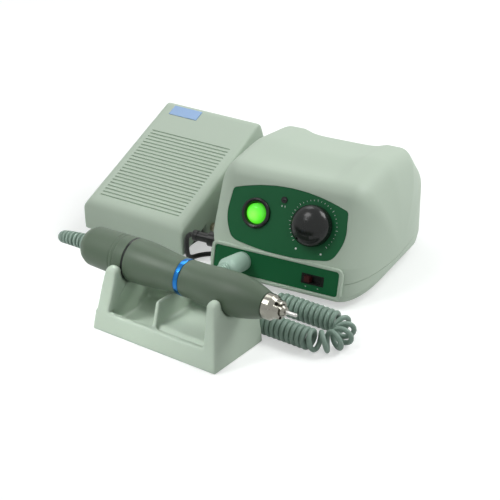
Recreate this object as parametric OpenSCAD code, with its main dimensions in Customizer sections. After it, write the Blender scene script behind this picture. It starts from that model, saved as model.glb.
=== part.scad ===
// Laboratory micromotor set: control box, foot pedal, handpiece in its cradle and their cords.
// Millimetres, +Z up, -Y towards the user. X runs along the handpiece.

/* [Set layout] */
// Left end of the cradle's base
cradle_x = -20.5; // [-30:0.5:-15]
// Front of the cradle's base
cradle_y = -118; // [-125:0.5:-110]
// Middle of the control box's front edge, across
box_x = 48; // [45:0.5:60]
// Middle of the control box's front edge, back from the origin
box_y = -18.5; // [-22:0.5:-10]
// Turn of the control box towards the right
box_yaw = 8; // [0:1:10]
// Middle of the pedal, across
pedal_x = -71.5; // [-90:0.5:-70]
// Pedal's nearest tread groove, back from the origin
pedal_y = -9; // [-14:0.5:-2]
// Turn of the pedal towards the right
pedal_yaw = 3; // [0:1:6]

/* [Control case] */
// Half width of the case at its bulge
case_half = 62; // [59:0.5:65]
// Half width of the flat middle of the case
case_flat = 40; // [38:0.5:44]
// Depth of the case, front edge to rear wall
case_d = 130; // [122:1:145]
// Height of the ridges on the cover
case_h = 78.5; // [74:0.5:86]
// Height of the joint between base and cover
seam_z = 17.5; // [16:0.5:20]
// Wall of the case
case_wall = 2.4; // [2:0.1:3]
// Depth of the valley between the ridges
case_dip = 3; // [0:0.5:5]
// Height of the rubber feet
foot_h = 3; // [2:0.5:5]
// Diameter of the rubber feet
foot_dia = 12; // [8:1:16]
// Diameter of the case screws
screw_dia = 3; // [2.5:0.5:4]

/* [Front panels] */
// Lean of the lower panel, from upright
lower_lean = 13; // [8:1:16]
// Height of the lower panel's foot
lip_z = 8.8; // [8:0.2:10]
// Height of the lip frame along its slope
lip_h = 20.5; // [19:0.5:22]
// Half width of the lip frame
lip_half = 47; // [45:0.5:50]
// Thickness of the lip frame
lip_t = 2; // [1.5:0.1:3]
// Width of the lip frame's rim
lip_rim = 2.2; // [1.5:0.1:3]
// Lean of the upper panel, from upright
upper_lean = 24; // [20:1:28]
// Height of the upper panel's foot line
upper_z = 26.9; // [26:0.1:29]
// Place of the upper panel's foot line, back from the front edge
upper_y = 6; // [5:0.1:7]
// Half width of the upper panel
eye_half = 42; // [38:0.5:44]
// Place of the middle of the upper panel, across
eye_u = 1.2; // [-1:0.2:2]
// Height of the upper panel along its slope
eye_h = 45; // [40:0.5:47]
// Thickness of the panel plates
plate_t = 0.8; // [0.5:0.1:1.2]

/* [Controls] */
// Place of the power switch across the upper panel
switch_u = -20.5; // [-24:0.5:-18]
// Place of the speed knob across the upper panel
knob_u = 20.5; // [18:0.5:24]
// Height of switch and knob up the upper panel
control_v = 24.5; // [22:0.5:27]
// Diameter of the switch bezel
switch_dia = 20.2; // [19:0.1:22]
// Diameter of the round rocker
rocker_dia = 13.8; // [12:0.1:14]
// Tilt of the rocker each way
rocker_tilt = 8; // [4:1:10]
// Diameter of the speed knob
knob_dia = 27; // [22:0.5:30]
// Height of the speed knob
knob_h = 13; // [10:0.5:16]
// Diameter of the knob's shaft
shaft_dia = 6; // [4:0.5:6.5]
// Place of the pilot lamp across the upper panel
lamp_u = -2.5; // [-4:0.5:2]
// Height of the pilot lamp up the upper panel
lamp_v = 36.8; // [35:0.2:38]
// Diameter of the pilot lamp's clip
lamp_dia = 4.2; // [3.6:0.2:6]
// Place of the selector switch across the lower panel
selector_u = 26.8; // [24:0.2:30]
// Height of the selector switch up the lower panel
selector_v = 9.4; // [8:0.2:11]
// Travel of the selector's slider
selector_travel = 7; // [5:0.5:8]
// Place of the handpiece jack across the lower panel
jack_u = -24.2; // [-27:0.2:-20]
// Height of the handpiece jack up the lower panel
jack_v = 10.6; // [9:0.2:11]

/* [Pedal] */
// Half width of the pedal cover
pedal_half = 42.5; // [41:0.5:44]
// Slope of the tread, rise per run
tread_slope = 0.42; // [0.36:0.01:0.44]
// Height of the tread at its nearest groove
tread_z = 29.8; // [28:0.2:33]
// Far end of the tread, from the nearest groove
tread_far = 93; // [90:1:104]
// Wall of the pedal cover
pedal_wall = 2.5; // [2:0.1:3]
// Number of tread grooves
groove_count = 23; // [10:1:24]
// Spacing of the tread grooves along the slope
groove_pitch = 3.1; // [2.5:0.1:3.2]
// Half length of a tread groove
groove_half = 33.6; // [25:0.2:34]
// Depth of a tread groove
groove_t = 0.9; // [0.5:0.1:1.2]
// Place of the pivot pin, from the nearest groove
pivot_y = 28; // [24:0.5:32]
// Height of the pivot pin
pivot_z = 12.5; // [11.5:0.5:14]
// Diameter of the pivot pin
pivot_dia = 4; // [3:0.5:5]
// Mean diameter of the return spring
spring_dia = 15; // [12:0.5:18]
// Turns of the return spring
spring_turns = 8; // [6:1:10]

/* [Cradle] */
// Length of the cradle's base
cradle_l = 96; // [90:1:104]
// Depth of the cradle's base
cradle_d = 50; // [46:1:56]
// Height of the cradle's horns
horn_h = 45.2; // [44.5:0.1:48]
// Height of the low front wall
rim_h = 14; // [11:0.5:16]
// Height of the back wall
back_h = 27; // [22:0.5:28]

/* [Handpiece] */
// Height of the handpiece's axis in the cradle
axis_z = 43; // [42:0.5:46]
// Radius at the black ring
ring_r = 14; // [13.4:0.1:14.2]
// Radius at the waist
waist_r = 11.6; // [11.2:0.1:12.4]
// Largest radius of the chuck sleeve
sleeve_r = 13.2; // [12.4:0.1:13.6]
// Rear end of the tail cap, from the cradle's left end
tail_x = -21; // [-24:0.5:-20]
// Black ring's rear face
ring_x = 15.2; // [14:0.2:16]
// Accent ring's rear face
accent_x = 54.5; // [52:0.5:56]
// Front end of the chuck sleeve
sleeve_x = 116; // [114:0.5:118]
// Front end of the chrome nose
nose_x = 127; // [125:0.5:130]
// Diameter of the mandrel's shank
mandrel_dia = 2.35; // [1.6:0.05:3]
// Front end of the mandrel
mandrel_x = 137.2; // [135:0.2:150]

/* [Cords] */
// Diameter of the handpiece cord
cord_dia = 3.3; // [3:0.1:3.3]
// Outer diameter of the curls
curl_dia = 14.6; // [13:0.2:14.6]
// Pitch of the tight curls
curl_pitch = 3.75; // [3.75:0.05:3.9]
// Curls on the front run
curls_front = 13; // [8:1:13]
// Curls on the turn
curls_turn = 6; // [4:1:6]
// Curls on the back run
curls_back = 12; // [8:1:12]
// Diameter of the pedal cable
cable_dia = 3.4; // [3:0.1:3.4]

/* [Fits] */
// Gap between parts that move past each other
run_gap = 0.3; // [0.2:0.05:0.4]
// Radial clearance of a shaft that turns
shaft_gap = 0.05; // [0.02:0.01:0.1]
// Gap around a part that is set into another
seat_gap = 0.15; // [0.1:0.05:0.3]

/* [Hidden] */
$fn = 64;

casing_colour = [0.69, 0.73, 0.66];
panel_colour = [0.04, 0.33, 0.20];
grip_colour = [0.37, 0.40, 0.34];
black_colour = [0.06, 0.06, 0.065];
rubber_colour = [0.16, 0.16, 0.16];
chrome_colour = [0.80, 0.79, 0.76];
steel_colour = [0.62, 0.62, 0.63];
brass_colour = [0.72, 0.58, 0.30];
copper_colour = [0.70, 0.40, 0.20];
cord_colour = [0.55, 0.62, 0.57];

// A margin by which a cut passes the face that it opens
past = 1;

// Plane helpers

function unit(v) = v / norm(v);

// Points of the arc that rounds corner q between its neighbours p and s
function corner_arc(p, q, s, r, n) =
    let (a = unit(p - q), b = unit(s - q), half = acos(a * b) / 2)
    let (c = q + unit(a + b) * r / sin(half), start = q + a * r / tan(half) - c)
    let (turn = (180 - 2 * half) * sign(cross(q - p, s - q)))
    [for (i = [0:n]) let (t = turn * i / n)
        c + [start.x * cos(t) - start.y * sin(t), start.x * sin(t) + start.y * cos(t)]];

// Outline from corners [x, y, radius]
function rounded(c, n = 4) =
    [for (i = [0:len(c) - 1])
        let (q = c[i], p = c[(i + len(c) - 1) % len(c)], s = c[(i + 1) % len(c)])
        each q.z == 0 ? [[q.x, q.y]]
            : corner_arc([p.x, p.y], [q.x, q.y], [s.x, s.y], q.z, n)];

// Corners of a rectangle between two opposite corners, all rounded alike
function pad(low, high, r) =
    [[low.x, low.y, r], [high.x, low.y, r], [high.x, high.y, r], [low.x, high.y, r]];

// Solid through a list of rings, each with its points counter-clockwise about the way of travel
module loft(rings) {
    n = len(rings[0]);
    m = len(rings);
    sides = [for (i = [0:m - 2], j = [0:n - 1])
        let (a = i * n + j, b = i * n + (j + 1) % n) each [[a, b + n, b], [a, a + n, b + n]]];
    ends = [[for (j = [0:n - 1]) j], [for (j = [n - 1:-1:0]) (m - 1) * n + j]];
    polyhedron(points = [for (r = rings) each r], faces = concat(sides, ends), convexity = 8);
}

// Tube helpers

function along(p) =
    [for (i = [0:len(p) - 1]) unit(p[min(i + 1, len(p) - 1)] - p[max(i - 1, 0)])];
function square_to(n, t) = unit(n - (n * t) * t);
function carried(t, first) =
    [for (i = 0, n = square_to(first, t[0]); i < len(t);
        n = square_to(n, t[min(i + 1, len(t) - 1)]), i = i + 1) n];

// Smooth curve through hand-chosen points, with steps between each pair
function smooth(p, steps) =
    [for (i = [0:len(p) - 2], k = [0:steps - (i == len(p) - 2 ? 0 : 1)])
        let (a = p[max(i - 1, 0)], b = p[i], c = p[i + 1], d = p[min(i + 2, len(p) - 1)], t = k / steps)
        0.5 * (2 * b + (c - a) * t + (2 * a - 5 * b + 4 * c - d) * t * t
            + (3 * b - a - 3 * c + d) * t * t * t)];

// Tube along points, with one radius or a list of them
module tube(p, r, sides = 8, first = [0.3, 0.2, 0.93]) {
    t = along(p);
    n = carried(t, first);
    loft([for (i = [0:len(p) - 1])
        let (q = is_list(r) ? r[i] : r, b = cross(t[i], n[i]))
        [for (j = [0:sides - 1])
            p[i] + q * (cos(360 * j / sides) * n[i] + sin(360 * j / sides) * b)]]);
}

// Least gap of a wound tube to itself, measured on its points half a turn apart or more
function least_gap(p, dia, apart) =
    min([for (i = [0:len(p) - 1], j = [i + apart:1:len(p) - 1]) norm(p[i] - p[j])]) - dia;

// Round solid about the X axis, from points [x, radius]
module turned(points) {
    rotate([0, 90, 0]) rotate_extrude() polygon([for (q = points) [q.y, q.x]]);
}
// Round bar or ring about the X axis
module turned_bar(x0, x1, r, bore = 0) {
    translate([x0, 0, 0]) rotate([0, 90, 0]) difference() {
        cylinder(h = x1 - x0, r = r);
        if (bore > 0) translate([0, 0, -past]) cylinder(h = x1 - x0 + 2 * past, r = bore);
    }
}

// Places of the pieces of the set

module at_box() { translate([box_x, box_y, 0]) rotate([0, 0, box_yaw]) children(); }
module at_pedal() { translate([pedal_x, pedal_y, 0]) rotate([0, 0, pedal_yaw]) children(); }
module at_cradle() { translate([cradle_x, cradle_y, 0]) children(); }
module at_handpiece() { translate([cradle_x, cradle_y + cradle_d / 2, axis_z]) children(); }
// Lower and upper panel: x across, y up the slope, z out of the face
module on_lower(u, v) {
    translate([0, 0, lip_z]) rotate([90 - lower_lean, 0, 0]) translate([u, v, 0]) children();
}
module on_upper(u, v) {
    translate([0, upper_y, upper_z]) rotate([90 - upper_lean, 0, 0]) translate([u, v, 0]) children();
}

// Control case

case_mid = case_d / 2;
case_round = 2.2;
ridge_x = 30;
front_tan = tan(lower_lean);
brow_tan = tan(upper_lean);
function front_y(z) = (z - lip_z) * front_tan + lip_t / cos(lower_lean);
function brow_y(z) = upper_y + (z - upper_z) * brow_tan;
kink_z = (lip_t / cos(lower_lean) - lip_z * front_tan - upper_y + upper_z * brow_tan) / (brow_tan - front_tan);
brow_z = case_h - 3;
brow_end = brow_y(brow_z);
cover_corners = [
    [front_y(seam_z), seam_z, 0], [front_y(kink_z), kink_z, 0], [brow_y(brow_z), brow_z, 14],
    [case_mid + 5, case_h, 60], [case_d - 20, case_h - 6, 7], [case_d, case_h - 27, 3], [case_d, seam_z, 0]
];
base_front_z = 8;
base_corners = [
    [case_d, seam_z, 0], [case_d, seam_z - 7, 0], [case_d - 6, foot_h, 0],
    [8, foot_h, 0], [front_y(base_front_z), base_front_z, 0], [front_y(seam_z), seam_z, 0]
];
// Share of the middle section that is left at a place across the case
function closing(x, half) =
    let (u = max(0, (abs(x) - case_flat) / (half - case_flat))) pow(1 - pow(u, case_round), 1 / case_round);
function ease(t) = let (c = min(1, max(0, t))) c * c * (3 - 2 * c);
function valley(x, y, z) = case_dip * (1 - pow(min(1, abs(x) / ridge_x), 6)) * ease((y - brow_end) / 22) * ease((z - 45) / 20);
// Places across the case at which its section is given, right to left
function case_places(half) =
    let (side = [for (a = [84:-14:14]) case_flat + (half - case_flat) * sin(a)])
    concat(side, [for (x = [case_flat:-case_flat / 4:0]) x],
        [for (x = [case_flat / 4:case_flat / 4:case_flat]) -x],
        [for (i = [len(side) - 1:-1:0]) -side[i]]);
// Rings of the case's skin, drawn in by a wall; a ring's end on the seam is lowered or raised by lap
function case_rings(outline, wall, depth, lap) =
    let (half = case_half - wall, ky = 1 - wall / case_mid, kz = 1 - wall / depth)
    [for (x = case_places(half)) let (s = closing(x, half))
        [for (q = outline) let (z = q.y - valley(x, q.x, q.y), on_seam = q.y == seam_z)
            [x, case_mid + (q.x - case_mid) * ky * s,
                on_seam ? seam_z + lap : seam_z + (z - seam_z) * kz * s]]];

boss_x = case_half - 8;
boss_near = 32;
boss_far = case_d - 32;
boss_r = 3.6;
boss_h = 12;
module at_bosses() {
    for (x = [-boss_x, boss_x], y = [boss_near, boss_far]) translate([x, y, 0]) children();
}
foot_x = 36;
module at_case_feet() {
    for (x = [-foot_x, foot_x], y = [20, case_d - 22]) translate([x, y, 0]) children();
}
barrel_r = 9;
bushing_r = 3.5;
jack_r = 6;
pedal_jack_r = 5;
pedal_jack_y = 14;
pedal_jack_z = seam_z + 6;
inlet_x = 16;
inlet_z = 35;
inlet_w = 27;
inlet_h = 19.6;
// Openings in the front and side walls that both halves of the case share
module wall_openings() {
    on_lower(jack_u, jack_v) translate([0, 0, -12]) cylinder(h = 12 + past, r = jack_r + seat_gap);
    on_lower(selector_u, selector_v) translate([-selector_w / 2 - seat_gap, -selector_h / 2 - seat_gap, -12])
        cube([selector_w + 2 * seat_gap, selector_h + 2 * seat_gap, 12 + past]);
}
module case_cover() {
    outline = rounded(cover_corners, 3);
    color(casing_colour) at_box() difference() {
        union() {
            difference() {
                loft(case_rings(outline, 0, case_h - seam_z, 0));
                loft(case_rings(outline, case_wall, case_h - seam_z, -past));
            }
            at_bosses() translate([0, 0, seam_z]) cylinder(h = boss_h, r = boss_r);
        }
        at_bosses() translate([0, 0, seam_z - past]) cylinder(h = boss_h - 2 + past, r = screw_dia / 2 + shaft_gap);
        on_upper(0, 0) translate([0, 0, -plate_t - seat_gap])
            linear_extrude(plate_t + seat_gap + past) polygon(eye_outline(seat_gap));
        on_upper(switch_u, control_v) translate([0, 0, -10]) cylinder(h = 10, r = barrel_r + seat_gap);
        on_upper(knob_u, control_v) translate([0, 0, -10]) cylinder(h = 10, r = bushing_r + seat_gap);
        on_upper(lamp_u, lamp_v) translate([0, 0, -10]) cylinder(h = 10, r = lamp_dia / 2 - 0.4 + seat_gap);
        wall_openings();
        translate([-case_half, pedal_jack_y, pedal_jack_z]) rotate([0, 90, 0])
            cylinder(h = 26, r = pedal_jack_r + seat_gap);
        translate([inlet_x - inlet_w / 2 - seat_gap, case_d - 8, inlet_z - inlet_h / 2 - seat_gap])
            cube([inlet_w + 2 * seat_gap, 8 + past, inlet_h + 2 * seat_gap]);
    }
}
floor_top = seam_z + (foot_h - seam_z) * (1 - case_wall / (seam_z - foot_h));
board_z = floor_top + 6;
board_x = 36;
board_y0 = 26;
board_y1 = case_d - 66;
module at_board_posts() {
    for (x = [-board_x, board_x], y = [board_y0, board_y1]) translate([x, y, 0]) children();
}
module case_base() {
    outline = rounded(base_corners, 3);
    color(casing_colour) at_box() difference() {
        union() {
            difference() {
                loft(case_rings(outline, 0, seam_z - foot_h, 0));
                loft(case_rings(outline, case_wall, seam_z - foot_h, past));
            }
            at_bosses() translate([0, 0, boss_floor]) cylinder(h = seam_z - boss_floor, r = boss_r);
            at_board_posts() translate([0, 0, floor_top - past]) cylinder(h = board_z - floor_top + past, r = 3);
        }
        at_bosses() cylinder(h = seam_z + past, r = screw_dia / 2 + seat_gap);
        at_bosses() cylinder(h = screw_head_z, r = screw_dia + seat_gap);
        wall_openings();
    }
}
boss_floor = seam_z - (seam_z - foot_h) * 0.8;
screw_head_z = seam_z - 5;
module case_feet() {
    color(rubber_colour) at_box() at_case_feet() difference() {
        cylinder(h = foot_h, r = foot_dia / 2);
        translate([0, 0, -past]) cylinder(h = past + 1.2, r = foot_dia / 2 - 3);
    }
}
module case_screws() {
    color(steel_colour) at_box() at_bosses() translate([0, 0, screw_head_z]) {
        cylinder(h = 12, r = screw_dia / 2);
        difference() {
            translate([0, 0, -2.2]) cylinder(h = 2.2, r = screw_dia - 0.2);
            for (a = [0, 90]) rotate([0, 0, a]) translate([-2, -0.4, -2.2 - past]) cube([4, 0.8, 1 + past]);
        }
    }
}

// Front panels

// Upper panel's outline, wider by grow all round
function eye_outline(grow) =
    let (e = eye_h / 45, w = eye_half + grow, c = eye_h / 2 + e / 2, k = (eye_h / 2 + grow) / (eye_h / 2))
    let (corners = [[-w + e, 38 * e, 3 * e], [0, 50 * e, 118 * e], [w - e, 38 * e, 3 * e], [w + e, 18 * e, 28 * e],
        [w - 6 * e, 5 * e, 9 * e], [0, -1.5 * e, 170 * e], [-w + 6 * e, 5 * e, 9 * e], [-w - e, 18 * e, 28 * e]])
    rounded([for (q = corners) [q.x + eye_u, c + (q.y - c) * k, q.z]], 6);
module control_panel() {
    color(panel_colour) at_box() difference() {
        on_upper(0, 0) translate([0, 0, -plate_t]) linear_extrude(plate_t) polygon(eye_outline(0));
        on_upper(switch_u, control_v) translate([0, 0, -5]) cylinder(h = 10, r = barrel_r + seat_gap);
        on_upper(knob_u, control_v) translate([0, 0, -5]) cylinder(h = 10, r = bushing_r + seat_gap);
        on_upper(lamp_u, lamp_v) translate([0, 0, -5]) cylinder(h = 10, r = lamp_dia / 2 - 0.4 + seat_gap);
    }
}
cheek_t = 1.2;
module front_bezel() {
    low = [-lip_half, -0.5];
    high = [lip_half, lip_h];
    color(casing_colour) at_box() on_lower(0, 0) {
        translate([0, 0, -lip_t]) linear_extrude(lip_t) difference() {
            polygon(rounded(pad(low, high, 3)));
            polygon(rounded(pad(low + [lip_rim, lip_rim], high - [lip_rim, lip_rim], 2)));
        }
        for (x = [-lip_half, lip_half - cheek_t])
            translate([x, 2.5, -lip_t - 1.4]) cube([cheek_t, lip_h - 5.5, 1.9]);
    }
}
panel_face = -lip_t + 1.2;
module jack_panel() {
    low = [-lip_half + lip_rim + seat_gap, -0.5 + lip_rim + seat_gap];
    high = [lip_half - lip_rim - seat_gap, lip_h - lip_rim - seat_gap];
    color(panel_colour) at_box() difference() {
        on_lower(0, 0) translate([0, 0, -lip_t]) linear_extrude(panel_face + lip_t) polygon(rounded(pad(low, high, 1.8)));
        wall_openings();
    }
}

// Power switch

switch_lip = 2.2;
barrel_l = 15;
pocket_z = -6.5;
pocket_r = rocker_dia / 2 + run_gap + 0.15;
rocker_pivot_z = -2;
trunnion_r = 1;
trunnion_l = pocket_r + 1;
module power_switch() {
    color(black_colour) at_box() on_upper(switch_u, control_v) difference() {
        union() {
            cylinder(h = switch_lip, r1 = switch_dia / 2, r2 = switch_dia / 2 - 0.7);
            translate([0, 0, -barrel_l]) cylinder(h = barrel_l + 0.1, r = barrel_r);
        }
        translate([0, 0, pocket_z]) cylinder(h = switch_lip - pocket_z + past, r = pocket_r);
        translate([-trunnion_l - 0.2, 0, rocker_pivot_z]) rotate([0, 90, 0])
            cylinder(h = 2 * trunnion_l + 0.4, r = trunnion_r + shaft_gap);
    }
}
// Rocker seen from its side, about its pivot: x up the panel, y out of it
module rocker_side() {
    h = rocker_dia / 2;
    polygon([[-h, -1.8], [h, -1.8], [h, 2], [h - 0.9, 5], [0, 4.2], [-h + 0.9, 5], [-h, 2]]);
}
module power_rocker() {
    color([0.20, 0.95, 0.10]) at_box() on_upper(switch_u, control_v) translate([0, 0, rocker_pivot_z])
        rotate([rocker_tilt, 0, 0]) {
            intersection() {
                rotate([90, 0, 90]) translate([0, 0, -rocker_dia / 2]) linear_extrude(rocker_dia) rocker_side();
                rotate_extrude() polygon([[0, -3], [rocker_dia / 2, -3], [rocker_dia / 2, 2], [rocker_dia / 2 - 0.9, 5], [0, 5.2]]);
            }
            translate([-trunnion_l, 0, 0]) rotate([0, 90, 0]) cylinder(h = 2 * trunnion_l, r = trunnion_r);
        }
}
module pilot_lamp() {
    color(black_colour) at_box() on_upper(lamp_u, lamp_v) {
        cylinder(h = 0.9, r = lamp_dia / 2);
        translate([0, 0, -7]) cylinder(h = 7.1, r = lamp_dia / 2 - 0.4);
        translate([0, 0, 0.4]) sphere(r = lamp_dia / 2 - 1);
    }
}

// Speed control

knob_lift = 0.5;
nut_h = 2;
shaft_top = knob_h - 3;
module potentiometer() {
    color(steel_colour) at_box() on_upper(knob_u, control_v) difference() {
        union() {
            translate([0, 0, -14]) cylinder(h = 9, r = 8);
            translate([0, 0, -6]) cylinder(h = 6 + nut_h + 1, r = bushing_r);
            cylinder(h = nut_h, r = 5.5, $fn = 6);
        }
        translate([0, 0, -12]) cylinder(h = 20, r = shaft_dia / 2 + shaft_gap);
    }
}
module knob_shaft() {
    color(steel_colour) at_box() on_upper(knob_u, control_v) translate([0, 0, -11])
        cylinder(h = 11 + shaft_top, r = shaft_dia / 2);
}
module speed_knob() {
    r = knob_dia / 2;
    dome = [for (a = [0:9:81]) [r * cos(a) * 0.985, 5 + (knob_h - 5) * sin(a)]];
    hollow_r = 7;
    hollow_h = nut_h + 2;
    color(black_colour) at_box() on_upper(knob_u, control_v) difference() {
        rotate_extrude() polygon(concat([[0, knob_lift], [r, knob_lift], [r, 4]], dome, [[0, knob_h]]));
        cylinder(h = hollow_h, r = hollow_r);
        cylinder(h = shaft_top, r = shaft_dia / 2);
        rotate([0, 0, 150]) translate([0, r - 2.6, 5]) cylinder(h = 10, r = 0.8);
    }
}

// Selector switch

selector_w = 15.6;
selector_h = 6.6;
slider_w = 4.4;
slider_h = 4.2;
slot_floor = -4;
module selector_switch() {
    slot_w = selector_travel + slider_w + 2 * run_gap;
    color(black_colour) at_box() on_lower(selector_u, selector_v) difference() {
        translate([-selector_w / 2, -selector_h / 2, -9]) cube([selector_w, selector_h, 9 + panel_face]);
        translate([-slot_w / 2, -slider_h / 2 - run_gap, slot_floor]) cube([slot_w, slider_h + 2 * run_gap, 6]);
    }
}
module selector_slider() {
    color([0.16, 0.03, 0.03]) at_box()
        on_lower(selector_u - selector_travel / 2, selector_v) translate([0, 0, slot_floor + run_gap]) {
            translate([-slider_w / 2, -slider_h / 2, 0]) cube([slider_w, slider_h, 2.6]);
            translate([-slider_w / 2 + 0.3, -slider_h / 2 + 0.2, 0]) cube([slider_w - 0.6, slider_h - 0.4, 4.2]);
        }
}

// Jacks and inlet

plug_bore = 4.1;
module handpiece_jack() {
    color(black_colour) at_box() on_lower(jack_u, jack_v) difference() {
        union() {
            translate([0, 0, panel_face]) cylinder(h = 1.4, r = jack_r + 0.4);
            translate([0, 0, -12]) cylinder(h = 12 + panel_face + 0.1, r = jack_r);
        }
        translate([0, 0, -9]) cylinder(h = 12, r = plug_bore);
    }
}
pin_bore = 1.85;
pedal_jack_face = case_half - 7.5;
module pedal_jack() {
    color(black_colour) at_box() translate([-pedal_jack_face, pedal_jack_y, pedal_jack_z]) difference() {
        turned_bar(0, 16, pedal_jack_r);
        turned_bar(-past, 14, pin_bore);
    }
}
module mains_inlet() {
    depth = 17;
    flange = 3.4;
    color(black_colour) at_box() translate([inlet_x, case_d, inlet_z]) {
        difference() {
            union() {
                translate([-inlet_w / 2 - 2, 0, -inlet_h / 2 - 2]) cube([inlet_w + 4, flange, inlet_h + 4]);
                translate([-inlet_w / 2, -depth, -inlet_h / 2]) cube([inlet_w, depth + 0.1, inlet_h]);
            }
            translate([-12.2, -depth + 2, -8.2]) cube([24.4, depth + flange, 16.4]);
        }
        for (x = [-7, 0, 7]) translate([x - 1, -depth + 1, x == 0 ? 1 : -3]) cube([2, 10, 4]);
    }
}

// Inside the case

core_w = 56;
core_d = 32;
core_h = 46;
core_y = case_d - 42;
leg_w = 18;
window_w = 10;
window_h = 28;
module transformer_core() {
    color([0.33, 0.32, 0.31]) at_box() translate([0, core_y, floor_top]) difference() {
        translate([-core_w / 2, -core_d / 2, 0]) cube([core_w, core_d, core_h]);
        for (s = [-1, 1])
            translate([s * (leg_w + window_w) / 2 - window_w / 2, -core_d / 2 - past, (core_h - window_h) / 2])
                cube([window_w, core_d + 2 * past, window_h]);
    }
}
module transformer_coil() {
    w = leg_w + 2 * window_w - 2 * seat_gap;
    d = core_d + 14;
    h = window_h - 2 * seat_gap;
    color(copper_colour) at_box() translate([0, core_y, floor_top + core_h / 2]) difference() {
        translate([-w / 2, -d / 2, -h / 2]) cube([w, d, h]);
        translate([-leg_w / 2 - seat_gap, -core_d / 2 - seat_gap, -h])
            cube([leg_w + 2 * seat_gap, core_d + 2 * seat_gap, 2 * h]);
    }
}
module circuit_board() {
    color([0.10, 0.36, 0.20]) at_box() {
        translate([-board_x - 4, board_y0 - 4, board_z]) cube([2 * board_x + 8, board_y1 - board_y0 + 8, 1.6]);
        for (x = [-14, 2]) translate([x, board_y1 - 12, board_z]) cylinder(h = 18, r = 6);
        translate([18, board_y1 - 20, board_z]) cube([12, 5, 16]);
        translate([-30, board_y1 - 30, board_z]) cube([14, 10, 6]);
    }
}

// Pedal: side view with x away from the user and y up

tread_angle = atan(tread_slope);
skirt = 18;
front_x = -9;
function tread_at(y) = tread_z + tread_slope * y;
far_drop = [sin(tread_angle), -cos(tread_angle)];
far_top = [tread_far, tread_at(tread_far)];
far_low = far_top + far_drop * skirt;
module pedal_side(inset) {
    wall = inset * [cos(tread_angle), sin(tread_angle)];
    lift = inset / cos(tread_angle);
    low = inset > 0 ? 3 : 0;
    polygon(rounded([
        [front_x + inset, 5 - low, 0],
        [far_low.x - wall.x + low * far_drop.x, far_low.y - wall.y + low * far_drop.y, 0],
        [far_top.x - wall.x, far_top.y - wall.y - lift, 5 - inset],
        [front_x - 0.6 + inset, tread_at(front_x - 0.6 + inset) - lift, 9 - inset]
    ]));
}
// Half width of the cover at a place along the pedal
function side_half(y) = pedal_half - side_taper * (y - front_x) / (tread_far - front_x);
side_taper = 2.2;
// Section of the cover square to the tread: it widens from the tread down to the skirt
module pedal_section(inset) {
    w = pedal_half - inset;
    shoulder = 2 - inset / 2;
    polygon(rounded([[-w, -80, 0], [w, -80, 0], [w, -flare_h, shoulder], [w - flare, -inset, shoulder],
        [-w + flare, -inset, shoulder], [-w, -flare_h, shoulder]]));
}
flare = 4.2;
flare_h = 3.6;
module pedal_shell(inset) {
    intersection() {
        across(-pedal_half, pedal_half) pedal_side(inset);
        linear_extrude(100) polygon([for (q = [[-1, -40], [1, -40], [1, 140], [-1, 140]]) [q.x * (side_half(q.y) - inset), q.y]]);
        on_tread(-60) rotate([90, 0, 180]) linear_extrude(220) pedal_section(inset);
    }
}
// Draws a side view across the pedal, from x0 to x1
module across(x0, x1) { translate([x0, 0, 0]) rotate([90, 0, 90]) linear_extrude(x1 - x0) children(); }
// Frame that lies on the tread: x across, y up the slope, z out of it
module on_tread(s) { translate([0, 0, tread_z]) rotate([tread_angle, 0, 0]) translate([0, s, 0]) children(); }
groove_w = 1.1;
plate_x0 = -31;
plate_x1 = -7;
plate_s0 = 87;
plate_s1 = 96;
ear_r = 7;
ear_half = side_half(pivot_y);
magnet_y = 46;
magnet_gap = 6;
module pedal_cover() {
    color(casing_colour) at_pedal() difference() {
        union() {
            difference() {
                pedal_shell(0);
                pedal_shell(pedal_wall);
            }
            for (x = [-ear_half, ear_half - pedal_wall]) across(x, x + pedal_wall) hull() {
                translate([pivot_y, pivot_z]) circle(r = ear_r);
                translate([pivot_y, pivot_z + 14]) square([2 * ear_r + 8, 2], center = true);
            }
            translate([0, magnet_y, magnet_z]) cylinder(h = tread_at(magnet_y) - pedal_wall - magnet_z, r = 4);
        }
        for (i = [0:groove_count - 1]) on_tread(i * groove_pitch)
            translate([-groove_half, -groove_w / 2, -groove_t]) cube([2 * groove_half, groove_w, groove_t + past]);
        on_tread(0) translate([plate_x0 - seat_gap, plate_s0 - seat_gap, -0.4])
            cube([plate_x1 - plate_x0 + 2 * seat_gap, plate_s1 - plate_s0 + 2 * seat_gap, 0.4 + past]);
        translate([-pedal_half - past, pivot_y, pivot_z]) rotate([0, 90, 0])
            cylinder(h = 2 * pedal_half + 2 * past, r = pivot_dia / 2 + shaft_gap);
    }
}
base_half = 34.4;
base_wall = 2.5;
base_far = tread_far - 3;
base_near = -3;
base_floor = 5.5;
module base_side(inset) {
    polygon([[base_near + inset, inset > 0 ? base_floor : foot_low], [base_far - inset, inset > 0 ? base_floor : foot_low],
        [base_far - inset, tread_at(base_far) - skirt - 0.8], [base_near + inset, 13]]);
}
foot_low = 2.5;
module pedal_base() {
    spring_y = spring_place;
    color([0.42, 0.45, 0.41]) at_pedal() difference() {
        union() {
            difference() {
                across(-base_half, base_half) base_side(0);
                across(-base_half + base_wall, base_half - base_wall) {
                    base_side(base_wall);
                    polygon([[base_near + base_wall, 12], [base_far - base_wall, 12], [base_far - base_wall, 90], [base_near + base_wall, 90]]);
                }
            }
            translate([0, spring_y, base_floor - 0.5]) cylinder(h = 9, r = spring_dia / 2 - 1.6);
        }
        translate([-base_half - past, pivot_y, pivot_z]) rotate([0, 90, 0])
            cylinder(h = 2 * base_half + 2 * past, r = pivot_dia / 2);
        translate([gland_x, base_far - base_wall - past, gland_z]) rotate([-90, 0, 0])
            cylinder(h = base_wall + 2 * past, r = gland_r + seat_gap);
    }
}
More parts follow.
